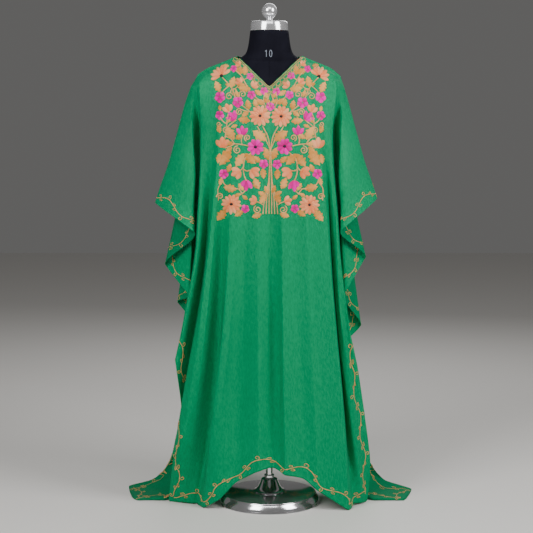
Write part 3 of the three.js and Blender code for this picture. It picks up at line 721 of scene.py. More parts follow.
def torso():
    heights = []
    for low, high in zip(ringHeights, ringHeights[1:]):
        heights += list(np.linspace(low, high, form["ringSteps"], endpoint=False))
    heights = np.array(heights + [ringHeights[-1]])
    around = form["around"]
    angle = np.linspace(0, 2 * np.pi, around, endpoint=False)
    verts = onForm(np.tile(angle, len(heights)), np.repeat(heights, around))
    index = np.arange(len(verts)).reshape(-1, around)
    walls = cells(np.column_stack([index, index[:, 0]]))[:, [0, 3, 2, 1]]
    piece = put("formTorso", verts * mm, [*walls.tolist(), index[0, ::-1], index[-1]], knit)
    for cap in piece.data.polygons[-2:]:
        cap.use_smooth = False
    return piece


# Rounded edge in a profile, from one angle to another
def rounded(radius, centreR, centreZ, start, end, steps):
    angles = np.radians(np.linspace(start, end, steps + 1))
    return [(centreR + radius * math.cos(a), centreZ + radius * math.sin(a)) for a in angles]


# Turned part from a profile of radius and height; a closed profile makes a ring
def turned(name, profile, chrome, facets=144, closed=False):
    verts, faces = [], []
    count = len(profile)
    for i in range(facets):
        angle = 2 * math.pi * i / facets
        for r, z in profile:
            verts.append((r * math.cos(angle) * mm, r * math.sin(angle) * mm, z * mm))
    for i in range(facets):
        j = (i + 1) % facets
        for k in range(count if closed else count - 1):
            m = (k + 1) % count
            faces.append((i * count + k, j * count + k, j * count + m, i * count + m))
    piece = put(name, verts, faces, chrome)
    work = bmesh.new()
    work.from_mesh(piece.data)
    bmesh.ops.remove_doubles(work, verts=work.verts, dist=1e-6)
    bmesh.ops.recalc_face_normals(work, faces=work.faces)
    sharp = math.radians(38)
    for edge in work.edges:
        if len(edge.link_faces) == 2 and edge.calc_face_angle(0) > sharp:
            edge.smooth = False
    work.to_mesh(piece.data)
    work.free()
    return piece


# Profiles are in millimetres, written from their own foot, rim or middle
def metalParts():
    gap = metal["gap"]
    foot, top, r = metal["capFoot"], metal["capFoot"] + metal["capHeight"], metal["capRadius"]
    cap = [(0, foot), (r - 1, foot), *rounded(1, r - 1, foot + 1, -70, 10, 3), (r - 1.5, top - 7),
           *rounded(6, r - 8, top - 6, 0, 90, 8), (0, top)]
    seat, ball, r = top + gap, top + gap + 30, metal["finialRadius"]
    finial = [(0, seat), (13, seat), (13, seat + 2.5), (10, seat + 3.4), (8, seat + 4.5), (6.8, seat + 7),
              *rounded(r, 0, ball, -73, 89, 22), (0, ball + r)]
    rim, r, top = metal["rimHeight"], metal["poleRadius"], ringHeights[0] - gap
    pole = [(0, rim + 3), (r, rim + 3), (r, top), (0, top)]
    foot, bore = rim + 2 + metal["bellHeight"], r + gap
    collar = [(bore, foot + 1), (14, foot + 1), *rounded(2, 13.5, foot + 3, -60, 0, 3),
              *rounded(2.5, 13, foot + 10.5, 0, 80, 4), (bore, foot + 13)]
    r = metal["bellRadius"]
    tall = metal["bellHeight"] - 5
    sweep = [(r - 25 * u ** 0.62, rim + 6 + tall * u ** 1.25) for u in np.linspace(0, 1, 14)]
    bell = [(bore, rim + 7), (r, rim + 3.6), *sweep, (21, foot + 0.7), (bore, foot + 0.7)]
    edge = metal["footRadius"]
    slope = [(edge - 2.5 - 11 * u ** 1.6, 6 + (rim - 9) * u) for u in np.linspace(0, 1, 8)]
    base = [(0, 0), (edge - 2, 0), *rounded(2, edge - 2, 2, -60, 10, 4), *slope,
            *rounded(3, edge - 16.4, rim - 3, 20, 88, 5), (r, rim + 3), (bore, rim + 6.5), (bore, rim + 2.5),
            (0, rim + 2.5)]
    return {
        "form_neck_cap": turned("formNeckCap", cap, satinChrome),
        "form_finial": turned("formFinial", finial, satinChrome),
        "form_pole": turned("formPole", pole, polishedChrome, 64),
        "form_pole_collar": turned("formPoleCollar", collar, polishedChrome, 64, closed=True),
        "form_pole_bell": turned("formPoleBell", bell, polishedChrome, 96, closed=True),
        "form_foot": turned("formFoot", base, polishedChrome, 192),
    }


formTorso = torso()
metalPieces = metalParts()
print("dress form", len(formTorso.data.polygons))


# Rows of chain stitches: each path is resampled and gets one small thread loop a step
def stitchTree():
    tree = bpy.data.node_groups.new("stitchRow", "GeometryNodeTree")
    for label, way, kind in [
        ("Geometry", "INPUT", "Geometry"),
        *[(label, "INPUT", "Float") for label in ("Pitch", "Length", "Width", "Height", "Uneven")],
        ("Seed", "INPUT", "Int"),
        ("Thread", "INPUT", "Material"),
        ("Geometry", "OUTPUT", "Geometry"),
    ]:
        tree.interface.new_socket(label, in_out=way, socket_type="NodeSocket" + kind)
    given, out = node(tree, "NodeGroupInput"), node(tree, "NodeGroupOutput")
    curve = node(tree, "GeometryNodeMeshToCurve")
    spaced = node(tree, "GeometryNodeResampleCurve", mode="LENGTH")
    tangent = node(tree, "GeometryNodeInputTangent")
    up = node(tree, "GeometryNodeInputNamedAttribute", data_type="FLOAT_VECTOR", Name="up")
    ahead = node(tree, "FunctionNodeAlignRotationToVector", axis="X")
    upright = node(tree, "FunctionNodeAlignRotationToVector", axis="Z", pivot_axis="X")
    chance = node(tree, "FunctionNodeRandomValue", data_type="FLOAT")
    low = node(tree, "ShaderNodeMath", operation="SUBTRACT", Value=1)
    high = node(tree, "ShaderNodeMath", operation="ADD", Value=1)
    size = node(tree, "ShaderNodeCombineXYZ")
    scaled = node(tree, "ShaderNodeVectorMath", operation="SCALE")
    loop = node(tree, "GeometryNodeMeshUVSphere", Segments=5, Rings=3, Radius=0.5)
    laid = node(tree, "GeometryNodeTransform", Rotation=(0, math.pi / 2, 0))
    smooth = node(tree, "GeometryNodeSetShadeSmooth")
    placed = node(tree, "GeometryNodeInstanceOnPoints")
    real = node(tree, "GeometryNodeRealizeInstances")
    dyed = node(tree, "GeometryNodeSetMaterial")
    for chain in ([given, curve, spaced, placed, real, dyed, out], [loop, laid, smooth]):
        for source, target in zip(chain, chain[1:]):
            tree.links.new(source.outputs[0], target.inputs[0])
    for source, output, target, label in [
        (smooth, "Geometry", placed, "Instance"),
        (given, "Pitch", spaced, "Length"),
        (tangent, "Tangent", ahead, "Vector"),
        (ahead, "Rotation", upright, "Rotation"),
        (up, "Attribute", upright, "Vector"),
        (upright, "Rotation", placed, "Rotation"),
        (given, "Uneven", low, 1),
        (given, "Uneven", high, 1),
        (low, 0, chance, 2),
        (high, 0, chance, 3),
        (given, "Seed", chance, "Seed"),
        (given, "Length", size, "X"),
        (given, "Width", size, "Y"),
        (given, "Height", size, "Z"),
        (size, 0, scaled, 0),
        (chance, 1, scaled, "Scale"),
        (scaled, 0, placed, "Scale"),
        (given, "Thread", dyed, "Material"),
    ]:
        tree.links.new(source.outputs[output], target.inputs[label])
    return tree


stitchRow = stitchTree()


# lines: pairs of points and the directions out of the cloth there; look: sizes of one stitch
def stitches(name, lines, look, thread, seed):
    verts, ups, edges = [], [], []
    for points, outs in lines:
        start = len(verts)
        verts += [tuple(p) for p in points + outs * look["lift"] * mm]
        ups += list(outs)
        edges += [(start + i, start + i + 1) for i in range(len(points) - 1)]
    mesh = bpy.data.meshes.new(name + "Paths")
    mesh.from_pydata(verts, edges, [])
    up = mesh.attributes.new("up", "FLOAT_VECTOR", "POINT")
    up.data.foreach_set("vector", np.array(ups, float).ravel())
    carrier = inScene(name + "Paths", mesh)
    modifier = carrier.modifiers.new("stitchRow", "NODES")
    modifier.node_group = stitchRow
    values = {key.capitalize(): look[key] * mm for key in ("pitch", "length", "width", "height")}
    values |= {"Uneven": look["uneven"], "Seed": seed, "Thread": thread}
    for item in stitchRow.interface.items_tree:
        if item.in_out == "INPUT" and item.name in values:
            modifier[item.identifier] = values[item.name]
    bpy.context.view_layer.update()
    made = bpy.data.meshes.new_from_object(carrier.evaluated_get(bpy.context.evaluated_depsgraph_get()))
    made.name = name
    bpy.data.objects.remove(carrier)
    return inScene(name, made)


# Scroll border along the side edges and the hem, in millimetres along and in from the edge
border = {
    "in": 25,                # line to the edge
    "repeat": 68,            # one sway across the line with a curled end
    "sway": 9.5,
    "hook": 7.5,
    "hookTurns": 0.85,
    "leaves": ((0.42, 5.5), (0.56, -5.5)),   # share of the repeat, and distance from the line
    "leafLong": 11,
    "leafWide": 5,
    "line": dict(pitch=3.4, length=4.4, width=2.9, height=1.5, uneven=0.12, lift=0.8),
    "leaf": dict(pitch=3.4, length=4.2, width=2.2, height=1.4, uneven=0.15, lift=0.8),
    "reverse": dict(pitch=4.4, length=4.6, width=2.0, height=1.1, uneven=0.2, lift=0.7),
}


# Lines and leaves of the border as places along and in from an edge
def borderPattern(length, startGap, endGap):
    middle, sway = border["in"], border["sway"]
    long, wide = border["leafLong"], border["leafWide"]
    usable = length - startGap - endGap
    count = max(1, round(usable / border["repeat"]))
    step = usable / count
    share, turn, circle = np.linspace(0, 1, 30), np.linspace(0, 1, 20), np.linspace(0, 2 * np.pi, 12)
    leaf = np.stack([long / 2 * np.cos(circle) + wide / 3 * np.sin(circle), wide / 2 * np.sin(circle)], 1)
    lines, ovals = [], []
    for i in range(count):
        start, side = startGap + i * step, 1 if i % 2 == 0 else -1
        wave = np.stack([start + share * step, middle - side * sway * np.cos(np.pi * share)], 1)
        angle = side * (-np.pi / 2 + turn * 2 * border["hookTurns"] * np.pi)
        size = border["hook"] * (1 - 0.6 * turn)
        spiral = np.stack([size * np.cos(angle) + 2 * turn, size * np.sin(angle)], 1)
        lines += [wave, spiral + wave[-1] - spiral[0]]
        ovals += [np.array([start + at * step, middle + off]) + leaf for at, off in border["leaves"]]
    return lines, ovals


def borderOf(name, panel, seed):
    last = panel["grid"].shape[1] - 1
    right, left = panel["foldColumn"]["right corner"], panel["foldColumn"]["left corner"]
    outer, leaf, inner = [], [], []
    end, corner = 3, border["in"]
    for first, to, startGap, endGap in [
        (0, right, end, corner),
        (right, left, corner, corner),
        (left, last, corner, end),
    ]:
        length = edgeLength(panel, -1, first, to) / mm
        lines, ovals = borderPattern(length, startGap, endGap)
        for pattern, kept in ((lines, outer), (ovals, leaf)):
            for shape in pattern:
                run = np.clip(shape[:, 0], 0, length) * mm
                points, outs = besideEdge(panel, -1, first, to, run, shape[:, 1] * mm)
                kept.append((points, outs))
                inner.append((points, -outs))
    return [
        stitches(name + "Line", outer, border["line"], threads["border"], seed),
        stitches(name + "Leaves", leaf, border["leaf"], threads["border"], seed + 1),
        stitches(name + "Reverse", inner, border["reverse"], threads["border"], seed + 2),
    ]


frontBorder = borderOf("frontBorder", front, 3)
backBorder = borderOf("backBorder", back, 13)
print("borders", [len(piece.data.polygons) for piece in frontBorder + backBorder])


# Points on the front's cloth at places seen from the front, and their outward directions
def onChest(flat):
    points, outs = [], []
    for x, z in flat:
        hit = front["tree"].ray_cast(Vector((x * mm, -0.6, z * mm)), Vector((0, 1, 0)))[0]
        hit, out = nearestOn(front, hit or Vector((x * mm, -0.1, z * mm)))
        points.append(hit)
        outs.append(out)
    return np.array(points), unit(np.array(outs))


# Curve through a few points, two millimetres a step
def flowing(points, step=2.0):
    points = np.array(points, float)
    at = runsOf(points)
    slopes = np.gradient(points, at, axis=0)
    t = np.linspace(0, at[-1], max(3, int(at[-1] / step) + 1))
    i = np.clip(np.searchsorted(at, t, side="right") - 1, 0, len(at) - 2)
    span = (at[i + 1] - at[i])[:, None]
    f = ((t - at[i]) / span[:, 0])[:, None]
    return eased(points[i], points[i + 1] - points[i], slopes[i] * span, slopes[i + 1] * span, f)


# Shape that reaches a along a direction and b across it, moved to a place
def turnedTo(x, z, angle, a, b):
    c, s = math.cos(angle), math.sin(angle)
    return np.stack([x + a * c - b * s, z + a * s + b * c], -1)


def curl(x, z, radius, start, turns):
    share = np.linspace(0, 1, 24)
    angle = math.radians(start) + share * turns * 2 * math.pi
    size = radius * (1 - 0.75 * share)
    return np.stack([x + size * np.cos(angle), z + size * np.sin(angle)], 1)


# Band round the neck: lines beside the neckline and a row of linked ovals between them
neckBand = {
    "lines": (2.5, 6.5, 18.5, 21.5),
    "ovals": 12.5,           # middle of the lattice to the neckline
    "pitch": 15,
    "long": 7.2,
    "wide": 4.6,
    "stitch": dict(pitch=2.9, length=3.8, width=1.9, height=1.3, uneven=0.12, lift=0.8),
}


# Line beside the neckline on one side of the middle, from the shoulder to the middle
def neckLine(side, depth):
    share = np.linspace(1, 0, 60)
    flat = np.stack([cloth["neckHalfWidth"] * share, neckHeightAt(share)], 1)
    ahead = unit(np.gradient(flat, axis=0))
    moved = flat + np.stack([-ahead[:, 1], ahead[:, 0]], 1) * depth
    end, toward = moved[-1], ahead[-1]
    reach = end[0] / -toward[0]
    moved = np.concatenate([moved, [end + toward * reach * f for f in (0.35, 0.7, 1.0)]])
    moved[:, 0] *= side
    return moved


def neckBandPiece():
    circle = np.linspace(0, 2 * np.pi, 15)
    long, wide = neckBand["long"] * np.cos(circle), neckBand["wide"] * np.sin(circle)
    shapes = []
    for side in (1, -1):
        shapes += [neckLine(side, depth) for depth in neckBand["lines"]]
        middle = neckLine(side, neckBand["ovals"])
        runs = runsOf(middle)
        for run in np.arange(4, runs[-1] - 3, neckBand["pitch"]):
            x, z = placesAlong(middle, runs, run)
            dx, dz = placesAlong(middle, runs, run + 1) - placesAlong(middle, runs, run - 1)
            shapes.append(turnedTo(x, z, math.atan2(dz, dx), long, wide))
    shapes = [onChest(shape) for shape in shapes]
    return stitches("neckBandFront", shapes, neckBand["stitch"], threads["border"], 23)


def backNeckPiece():
    first, last = np.array([row["top"] for row in backFolds]).searchsorted([1, 3])
    columns = [back["foldColumn"][backFolds[i]["fold"]] for i in (first, last)]
    run = np.arange(0, edgeLength(back, 0, *columns), 2 * mm)
    depths = [np.full(len(run), depth * mm) for depth in neckBand["lines"]]
    lines = [besideEdge(back, 0, *columns, run, depth) for depth in depths]
    return stitches("neckBandBack", lines, neckBand["stitch"], threads["border"], 29)


# Satin patch: a low domed leaf or petal, from its foot outwards. teeth: jags down each side;
# blunt: fullness towards the foot; rise: height of the dome; tone: 0 deep to 1 pale.
# Gives its places, its heights over the cloth, its own map and its tone at each point, darker at its sides
# as painted shade between petals and leaves.
def patch(x, z, turn, length, width, teeth=0, blunt=0.8, rise=1.5, tone=0.5):
    around, across = (21 if teeth else 9), 5
    u = np.linspace(0, 1, around)[:, None]
    v = np.linspace(-1, 1, across)[None]
    half = width / 2 * np.sin(np.pi * np.clip(u, 0.03, 0.985) ** blunt) ** (0.95 if teeth else 0.5)
    if teeth:
        half = half * (1.25 - 0.6 * ((u * teeth) % 1) * (u > 0.12))
    a, b = length * u + 0 * v, half * v
    flat = turnedTo(x, z, math.radians(turn), a, b)
    dome = rise * np.sqrt(np.clip(1 - v ** 2, 0, 1)) * np.clip(np.minimum(u, 1 - u) * 6, 0.1, 1) + 0.25
    # Random tone and paler towards the tip; the fall towards the sides is painted shade between neighbouring
    # petals and leaves
    shade = np.clip(tone * 0.6 + 0.5 * u - 0.5 * np.abs(v) ** 3, 0, 1)
    return flat, dome, np.stack([a * mm, b * mm], -1), shade


# Every uneven shift and tone of the bib is drawn from here, in order
chance = random.Random(7)


def flower(x, z, radius, petals, turn, doubled=False, spread=360):
    parts = []
    step = spread / petals
    width = 2 * math.pi * radius * (0.72 + 0.004 * petals) * min(step, 72) / 360

    def petal(angle, length, width, **look):
        c, s = math.cos(math.radians(angle)), math.sin(math.radians(angle))
        parts.append(patch(x + c * radius * 0.08, z + s * radius * 0.08, angle, length, width, **look))

    for i in range(petals):
        angle = turn + step * (i + 0.5) - (spread / 2 if spread < 360 else 0) + chance.uniform(-2, 2)
        petal(angle, radius * chance.uniform(0.86, 0.96), width, blunt=1.7, rise=1.2 + 0.7 * (i % 2),
              tone=chance.uniform(0, 1))
        if doubled:
            petal(angle + step / 2, radius * 0.5, width * 0.55, blunt=1.3, rise=2.3,
                  tone=chance.uniform(0, 0.6))
    return parts


def fan(x, z, length, width, turn, angles):
    return [patch(x, z, turn + angle, length * (1 - 0.1 * (angle != 0)), width, blunt=1.1,
                  rise=2.2 - 0.02 * abs(angle), tone=chance.uniform(0, 1)) for angle in angles]


# Right half of the bib's tree of flowers, as seen from the front, in places from its middle line;
# the left half mirrors it, a little uneven. turn: degrees from straight right, anticlockwise.
bib = {
    "middle": 3,
    "uneven": 2.0,
    "leafWidth": 0.58,       # of its length
    "centre": 10.4,          # black centre of the large blooms
    "stem": dict(pitch=3.2, length=4.6, width=4.2, height=2.0, uneven=0.15, lift=0.7),
}
blooms = table("kind x z size turn", [
    ("daisy", 32, 1199, 32), ("daisy", 116, 938, 30), ("halfDaisy", 145, 1318, 32, 62),
    ("star", 42, 1111, 25), ("rosette", 18, 1272, 12), ("rosette", 57, 1262, 13),
    ("rosette", 95, 1239, 17), ("rosette", 150, 1256, 17), ("rosette", 62, 1319, 11),
    ("rosette", 111, 1340, 11), ("rosette", 150, 1202, 14), ("rosette", 20, 1058, 14),
    ("rosette", 140, 1030, 15), ("rosette", 73, 926, 13), ("tulip", 82, 1143, 30, 88),
    ("tulip", 103, 1187, 32, 48), ("tulip", 71, 1010, 34, -88), ("bud", 141, 1106, 32, 88),
    ("bud", 91, 1040, 30, -28), ("bud", 60, 1040, 30, -145), ("bud", 121, 1212, 25, 70),
    ("bud", 86, 1296, 21, 50), ("bud", 54, 1286, 21, 140), ("bud", 42, 948, 23, 12),
    ("bud", 92, 1352, 17, 40),
])
leaves = table("x z size turn", [
    (10, 1128, 50, 34), (62, 1184, 36, 6), (106, 1131, 45, 60), (40, 1226, 26, 78), (64, 1218, 30, 80),
    (66, 1215, 26, -38), (6, 1072, 38, 72), (28, 1062, 28, 42), (22, 1044, 32, -95), (77, 1088, 44, 226),
    (78, 1088, 46, -55), (116, 1101, 56, -57), (128, 1034, 27, 112), (146, 1018, 24, -78),
    (102, 985, 40, 10), (131, 922, 42, -52), (80, 920, 30, -32), (66, 954, 20, 40), (5, 972, 26, 68),
    (12, 966, 26, 28), (14, 972, 34, -62), (47, 1018, 36, -114), (58, 1279, 38, 6), (78, 1326, 33, 24),
    (118, 1284, 36, 102), (150, 1270, 36, 66), (76, 1322, 30, 88), (46, 1275, 26, 215),
    (148, 1150, 24, 70), (150, 1088, 30, -82), (152, 1230, 18, -100), (24, 1246, 24, -165),
    (96, 1256, 22, 68), (104, 1134, 26, 150), (108, 1116, 24, 10), (112, 1108, 24, -32),
    (92, 1002, 26, -120), (30, 990, 22, 20), (28, 912, 30, -18), (98, 1174, 20, -20),
    (126, 1180, 20, 120), (146, 1172, 20, -60), (100, 1290, 24, 176), (134, 1296, 20, 190),
    (104, 962, 20, 150), (6, 1252, 24, 60), (18, 1236, 28, 30), (126, 1350, 22, 10),
])
stems = [
    [(4, 912), (4, 960), (3, 1020), (2, 1070), (2, 1110), (8, 1140), (22, 1168)],
    [(13, 912), (11, 955), (6, 995), (3, 1040)], [(22, 912), (18, 950), (10, 985), (4, 1010)],
    [(2, 1105), (16, 1134), (30, 1154), (38, 1168)], [(2, 1088), (10, 1100), (20, 1107)],
    [(66, 1112), (84, 1116), (106, 1118), (138, 1118)], [(84, 1116), (86, 1130), (82, 1143)],
    [(106, 1118), (118, 1134), (134, 1140)], [(106, 1118), (120, 1110), (134, 1106)],
    [(56, 1092), (74, 1076), (80, 1050), (78, 1026), (72, 1010)], [(80, 1050), (86, 1042), (94, 1038)],
    [(79, 1042), (70, 1038), (60, 1040)], [(71, 984), (82, 972), (98, 962), (104, 952)],
    [(84, 970), (94, 984), (116, 986), (136, 998), (146, 1018)], [(142, 1006), (154, 990), (155, 952)],
    [(22, 938), (32, 944), (43, 948)], [(14, 1226), (20, 1244), (17, 1264)],
    [(2, 1228), (8, 1246), (4, 1262)], [(22, 1244), (38, 1250), (48, 1260)],
    [(60, 1213), (72, 1222), (82, 1230), (90, 1238)], [(60, 1213), (78, 1216), (92, 1222)],
    [(134, 1136), (130, 1170), (126, 1200), (121, 1214)], [(103, 1187), (118, 1176), (131, 1164)],
    [(129, 1176), (142, 1186), (148, 1196)], [(104, 1254), (112, 1276), (126, 1296), (143, 1314)],
    [(112, 1276), (100, 1284), (90, 1296)], [(122, 1290), (138, 1276), (146, 1266)],
    [(62, 1272), (74, 1296), (86, 1318), (104, 1336)], [(80, 1306), (70, 1312), (64, 1318)],
]
curls = table("x z size turn turns", [
    (98, 1100, 12, 90, -1.4), (38, 924, 12, 60, -1.4), (82, 1264, 11, -30, 1.3),
    (122, 1258, 12, 160, -1.3), (92, 1212, 10, 90, -1.3), (68, 1136, 10, -60, 1.3),
    (150, 962, 10, 0, 1.3), (132, 1160, 9, -90, 1.2), (108, 1272, 10, 0, 1.2), (152, 1176, 8, 200, 1.2),
])
# Kinds of bloom: its thread, whether it has a black centre, and its petals or the turns of its leaves
kinds = {
    "daisy": dict(thread="peach", centre=True, petals=13, doubled=True),
    "halfDaisy": dict(thread="peach", centre=True, petals=7, spread=190),
    "star": dict(thread="magenta", centre=True, petals=8),
    "rosette": dict(thread="magenta", centre=False, petals=5),
    "tulip": dict(thread="magenta", centre=False, wide=0.46, angles=(-36, 36, 0)),
    "bud": dict(thread="peach", centre=False, wide=0.56, angles=(-40, 40, 0)),
}


def bloomParts(kind, x, z, size, turn):
    look = kinds[kind]
    if "petals" in look:
        return flower(x, z, size, look["petals"], turn, look.get("doubled", False), look.get("spread", 360))
    return fan(x, z, size, size * look["wide"], turn, look["angles"])


# One piece of patches on the chest; "share" carries their tone and the painted shade at their sides
def patchesPiece(name, parts, material):
    verts, faces, uvs, tonesAndShade = [], [], [], []
    for flat, dome, flatUv, shade in parts:
        points, outs = onChest(flat.reshape(-1, 2))
        faces += cells(np.arange(dome.size).reshape(dome.shape) + len(verts)).tolist()
        verts += list(points + outs * dome.reshape(-1, 1) * mm)
        uvs += list(flatUv.reshape(-1, 2))
        tonesAndShade += list(shade.ravel())
    piece = put(name, verts, faces, material, uvs=uvs)
    piece.data.attributes.new("share", "FLOAT", "POINT").data.foreach_set("value", np.array(tonesAndShade, float))
    return piece


# Thread laid along a patch, paler or deeper towards the tip, and darker at its sides from the painted shade
# in "share"
def satinMaterial(name, foot, tip):
    material, tree, shader = finish(name, roughness=0.55, specular=0.12)
    pitch = 1.1 * mm
    lines = texture(tree, "ShaderNodeTexWave", "UV", bands_direction="Y", Scale=2 * math.pi / (20 * pitch),
                    Distortion=1.2, Detail=1.0)
    share = node(tree, "ShaderNodeAttribute", attribute_name="share")
    tone = texture(tree, "ShaderNodeTexNoise", Scale=120.0, Detail=2.0)
    mixed = node(tree, "ShaderNodeMath", operation="MULTIPLY_ADD")
    mixed.inputs[1].default_value = 0.4
    tree.links.new(tone.outputs["Fac"], mixed.inputs[0])
    tree.links.new(share.outputs["Fac"], mixed.inputs[2])
    ramp(tree, mixed.outputs[0], foot, tip, shader, start=0.25, end=1.0)
    bump(tree, lines.outputs["Fac"], shader, strength=0.6, distance=0.0005)
    return material


satins = {
    "peach": satinMaterial("peachSatin", (0.92, 0.20, 0.06), (1.0, 0.42, 0.20)),
    "magenta": satinMaterial("magentaSatin", (0.60, 0.0, 0.20), (1.0, 0.0, 0.48)),
    "leaf": satinMaterial("leafSatin", (0.62, 0.24, 0.04), (0.90, 0.44, 0.13)),
}


def bibPieces():
    middle, uneven = bib["middle"], bib["uneven"]
    parts = {"peach": [], "magenta": [], "leaf": []}
    centres, lines = [], []
    for side in (1, -1):
        def nudge():
            return chance.uniform(-uneven, uneven) if side < 0 else 0.0

        def across(x):
            return middle + side * x + nudge()

        def mirrored(turn):
            return turn if side > 0 else 180 - turn

        for bloom in blooms:
            kind = kinds[bloom["kind"]]
            x, z = across(bloom["x"]), bloom["z"] + nudge()
            turn = mirrored(bloom.get("turn", 90 + chance.uniform(-8, 8)))
            parts[kind["thread"]] += bloomParts(bloom["kind"], x, z, bloom["size"], turn)
            if kind["centre"]:
                centres.append((x, z))
        for leaf in leaves:
            x, z, turn = across(leaf["x"]), leaf["z"] + nudge(), mirrored(leaf["turn"]) + nudge() * 2
            parts["leaf"].append(patch(x, z, turn, leaf["size"], leaf["size"] * bib["leafWidth"], teeth=4,
                                       blunt=0.9, tone=chance.uniform(0, 1)))
        mirror = np.array([side, 1])
        start = np.array([middle, 0])
        lines += [flowing(start + mirror * np.array(stem, float)) for stem in stems]
        lines += [start + mirror * curl(*one.values()) for one in curls]
    parts["magenta"] += bloomParts("rosette", middle, 1228, 14, 90)
    pieces = [patchesPiece("bib" + thread.capitalize(), made, satins[thread])
              for thread, made in parts.items()]
    size = bib["centre"]
    dots = [patch(x - size / 2, z, 0, size, 10.0, blunt=1.0, rise=3.4) for x, z in centres]
    pieces.append(patchesPiece("bibCentres", dots, threads["black"]))
    lines = [onChest(line) for line in lines]
    pieces.append(stitches("bibStems", lines, bib["stem"], threads["tan"], 31))
    return pieces


# Seams of the form's cover and the size number painted on its neck
marks = {
    "neckFront": 1366,       # height of the seam round the neck
    "neckBack": 1392,
    "seam": dict(pitch=2.6, length=3.2, width=1.6, height=0.9, uneven=0.1, lift=0.2),
    "digitTall": 20,
    "digitWide": 7.5,
    "digitFoot": 1376,
    "stroke": 1.9,
    "paint": (0.22, 0.25, 0.3, 1),
}


# Lines of stitches on the form: round the neck, and down the middle in front and behind
def formSeams():
    lines = []

    def seam(angle, heights):
        line = onForm(angle, heights)
        lines.append((line * mm, unit(line * [1, 1, 0])))

    angle = np.linspace(0, 2 * np.pi, 140)
    low, high = marks["neckFront"], marks["neckBack"]
    seam(angle, (high + low) / 2 + (high - low) / 2 * np.sin(angle))
    for facing, top in ((-np.pi / 2, low), (np.pi / 2, high)):
        heights = np.arange(ringHeights[0] + 4, top - 1, 3.0)
        seam(np.full(len(heights), facing), heights)
    return stitches("formSeams", lines, marks["seam"], knit, 41)


# Painted stroke: a flat ribbon along a line on the front of the neck
def stroke(flat, closed=False):
    flat = np.array(flat, float)
    ahead = np.roll(flat, -1, 0) - np.roll(flat, 1, 0) if closed else np.gradient(flat, axis=0)
    ahead = unit(ahead)
    beside = np.stack([-ahead[:, 1], ahead[:, 0]], 1) * marks["stroke"] / 2
    edges = []
    for x, z in ((flat + beside).T, (flat - beside).T):
        half, depth = ringAt(z).T[:2]
        edges.append(np.stack([x, -depth * np.sqrt(1 - (x / half) ** 2) - 0.25, z], 1))
    count = len(flat)
    faces = []
    for i in range(count if closed else count - 1):
        j = (i + 1) % count
        faces.append((i, j, count + j, count + i))
    return np.concatenate(edges) * mm, faces


def sizeNumber():
    tall, wide, foot = marks["digitTall"], marks["digitWide"], marks["digitFoot"]
    angle = np.linspace(0, 2 * np.pi, 28, endpoint=False)
    ring = np.stack([4 + wide / 2 * np.cos(angle), foot + tall / 2 * (1 + np.sin(angle))], 1)
    verts, faces = [], []
    for points, sides in [
        stroke([(-9, foot + tall * f) for f in (0, 0.5, 1)]),
        stroke([(-13, foot + tall * 0.8), (-11, foot + tall * 0.88), (-9, foot + tall)]),
        stroke(ring, closed=True),
    ]:
        faces += [tuple(len(verts) + i for i in side) for side in sides]
        verts += list(points)
    paint = finish("whitePaint", colour=marks["paint"], roughness=0.6, specular=0.3)[0]
    return put("sizeNumber", verts, faces, paint, smooth=False)


formTrims = [formSeams(), sizeNumber()]
neckPieces = [neckBandPiece(), backNeckPiece()]
bibParts = bibPieces()
print("bib", [len(piece.data.polygons) for piece in neckPieces + bibParts])
frontTrims = frontBorder + neckPieces[:1] + bibParts
backTrims = backBorder + neckPieces[1:]
trims = frontTrims + backTrims


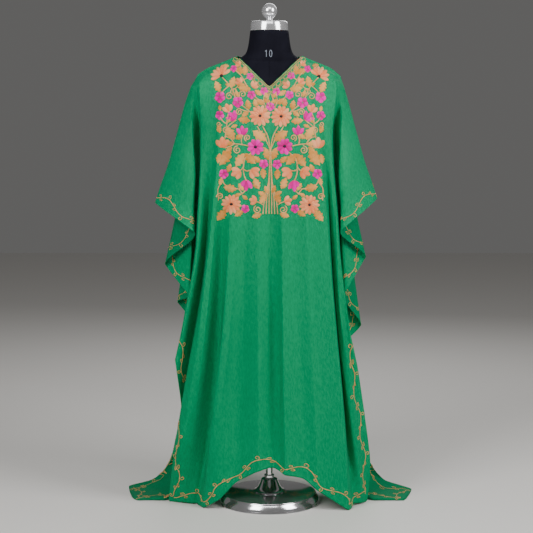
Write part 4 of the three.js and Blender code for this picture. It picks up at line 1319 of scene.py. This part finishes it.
# Camera, light and floor, in metres
view = {
    "distance": 4.3,
    "height": 1.2,
    "aim": (-0.0087, 0.0, 0.739),
    "lens": 94.8,
    "sky": (0.93, 0.92, 0.9, 1),
    "skyStrength": 0.13,
    "floor": (0.78, 0.76, 0.73, 1),
    "floorReach": 8,
}
lamps = table("name place aim size power", [
    ("softLeft", (-1.6, -2.3, 2.5), (0, 0, 1.25), (1.3, 1.7), 68),
    ("softRight", (2.1, -1.5, 2.3), (0, 0, 1.25), (1.2, 1.7), 68),
    ("softBehind", (0.5, 2.8, 2.6), (0, 0, 1), (2, 1.2), 26),
    ("softAbove", (0, -1.6, 3), (0, 0, 1.2), (1.6, 1), 16),
])


def aimed(name, data, place, aim):
    made = inScene(name, data)
    made.location = place
    made.rotation_euler = (Vector(aim) - Vector(place)).to_track_quat("-Z", "Y").to_euler()
    return made


def studio():
    camera = bpy.data.cameras.new("camera")
    camera.lens = view["lens"]
    scene.camera = aimed("camera", camera, (0, -view["distance"], view["height"]), view["aim"])
    for lamp in lamps:
        light = bpy.data.lights.new(lamp["name"], "AREA")
        light.shape = "RECTANGLE"
        light.size, light.size_y = lamp["size"]
        light.energy = lamp["power"]
        aimed(lamp["name"], light, lamp["place"], lamp["aim"])
    world = bpy.data.worlds.new("studio")
    scene.world = world
    world.use_nodes = True
    sky = world.node_tree.nodes["Background"]
    sky.inputs["Color"].default_value = view["sky"]
    sky.inputs["Strength"].default_value = view["skyStrength"]
    ground, tree, shader = finish("paleFloor", colour=view["floor"], roughness=0.75, specular=0.2)
    grain = texture(tree, "ShaderNodeTexNoise", Scale=60.0, Detail=4.0)
    bump(tree, grain.outputs["Fac"], shader, strength=0.1, distance=0.001)
    r = view["floorReach"]
    corners = [(-r, -r, 0), (r, -r, 0), (r, r, 0), (-r, r, 0)]
    floor = put("floor", corners, [(0, 1, 2, 3)], ground, smooth=False)


studio()

# Hand the pieces to the frame
for piece, solid, finishSlot in [
    (frontCloth, "kaftan_front", "green_crepe"),
    (backCloth, "kaftan_back", "green_crepe"),
    (formTorso, "form_torso", "form_cover"),
    *[(piece, solid, "chrome") for solid, piece in metalPieces.items()],
]:
    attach(piece, "root")
    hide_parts(solid)
for piece in trims:
    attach(piece, "root")
for piece in formTrims:
    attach(piece, "root")

print("pieces placed")
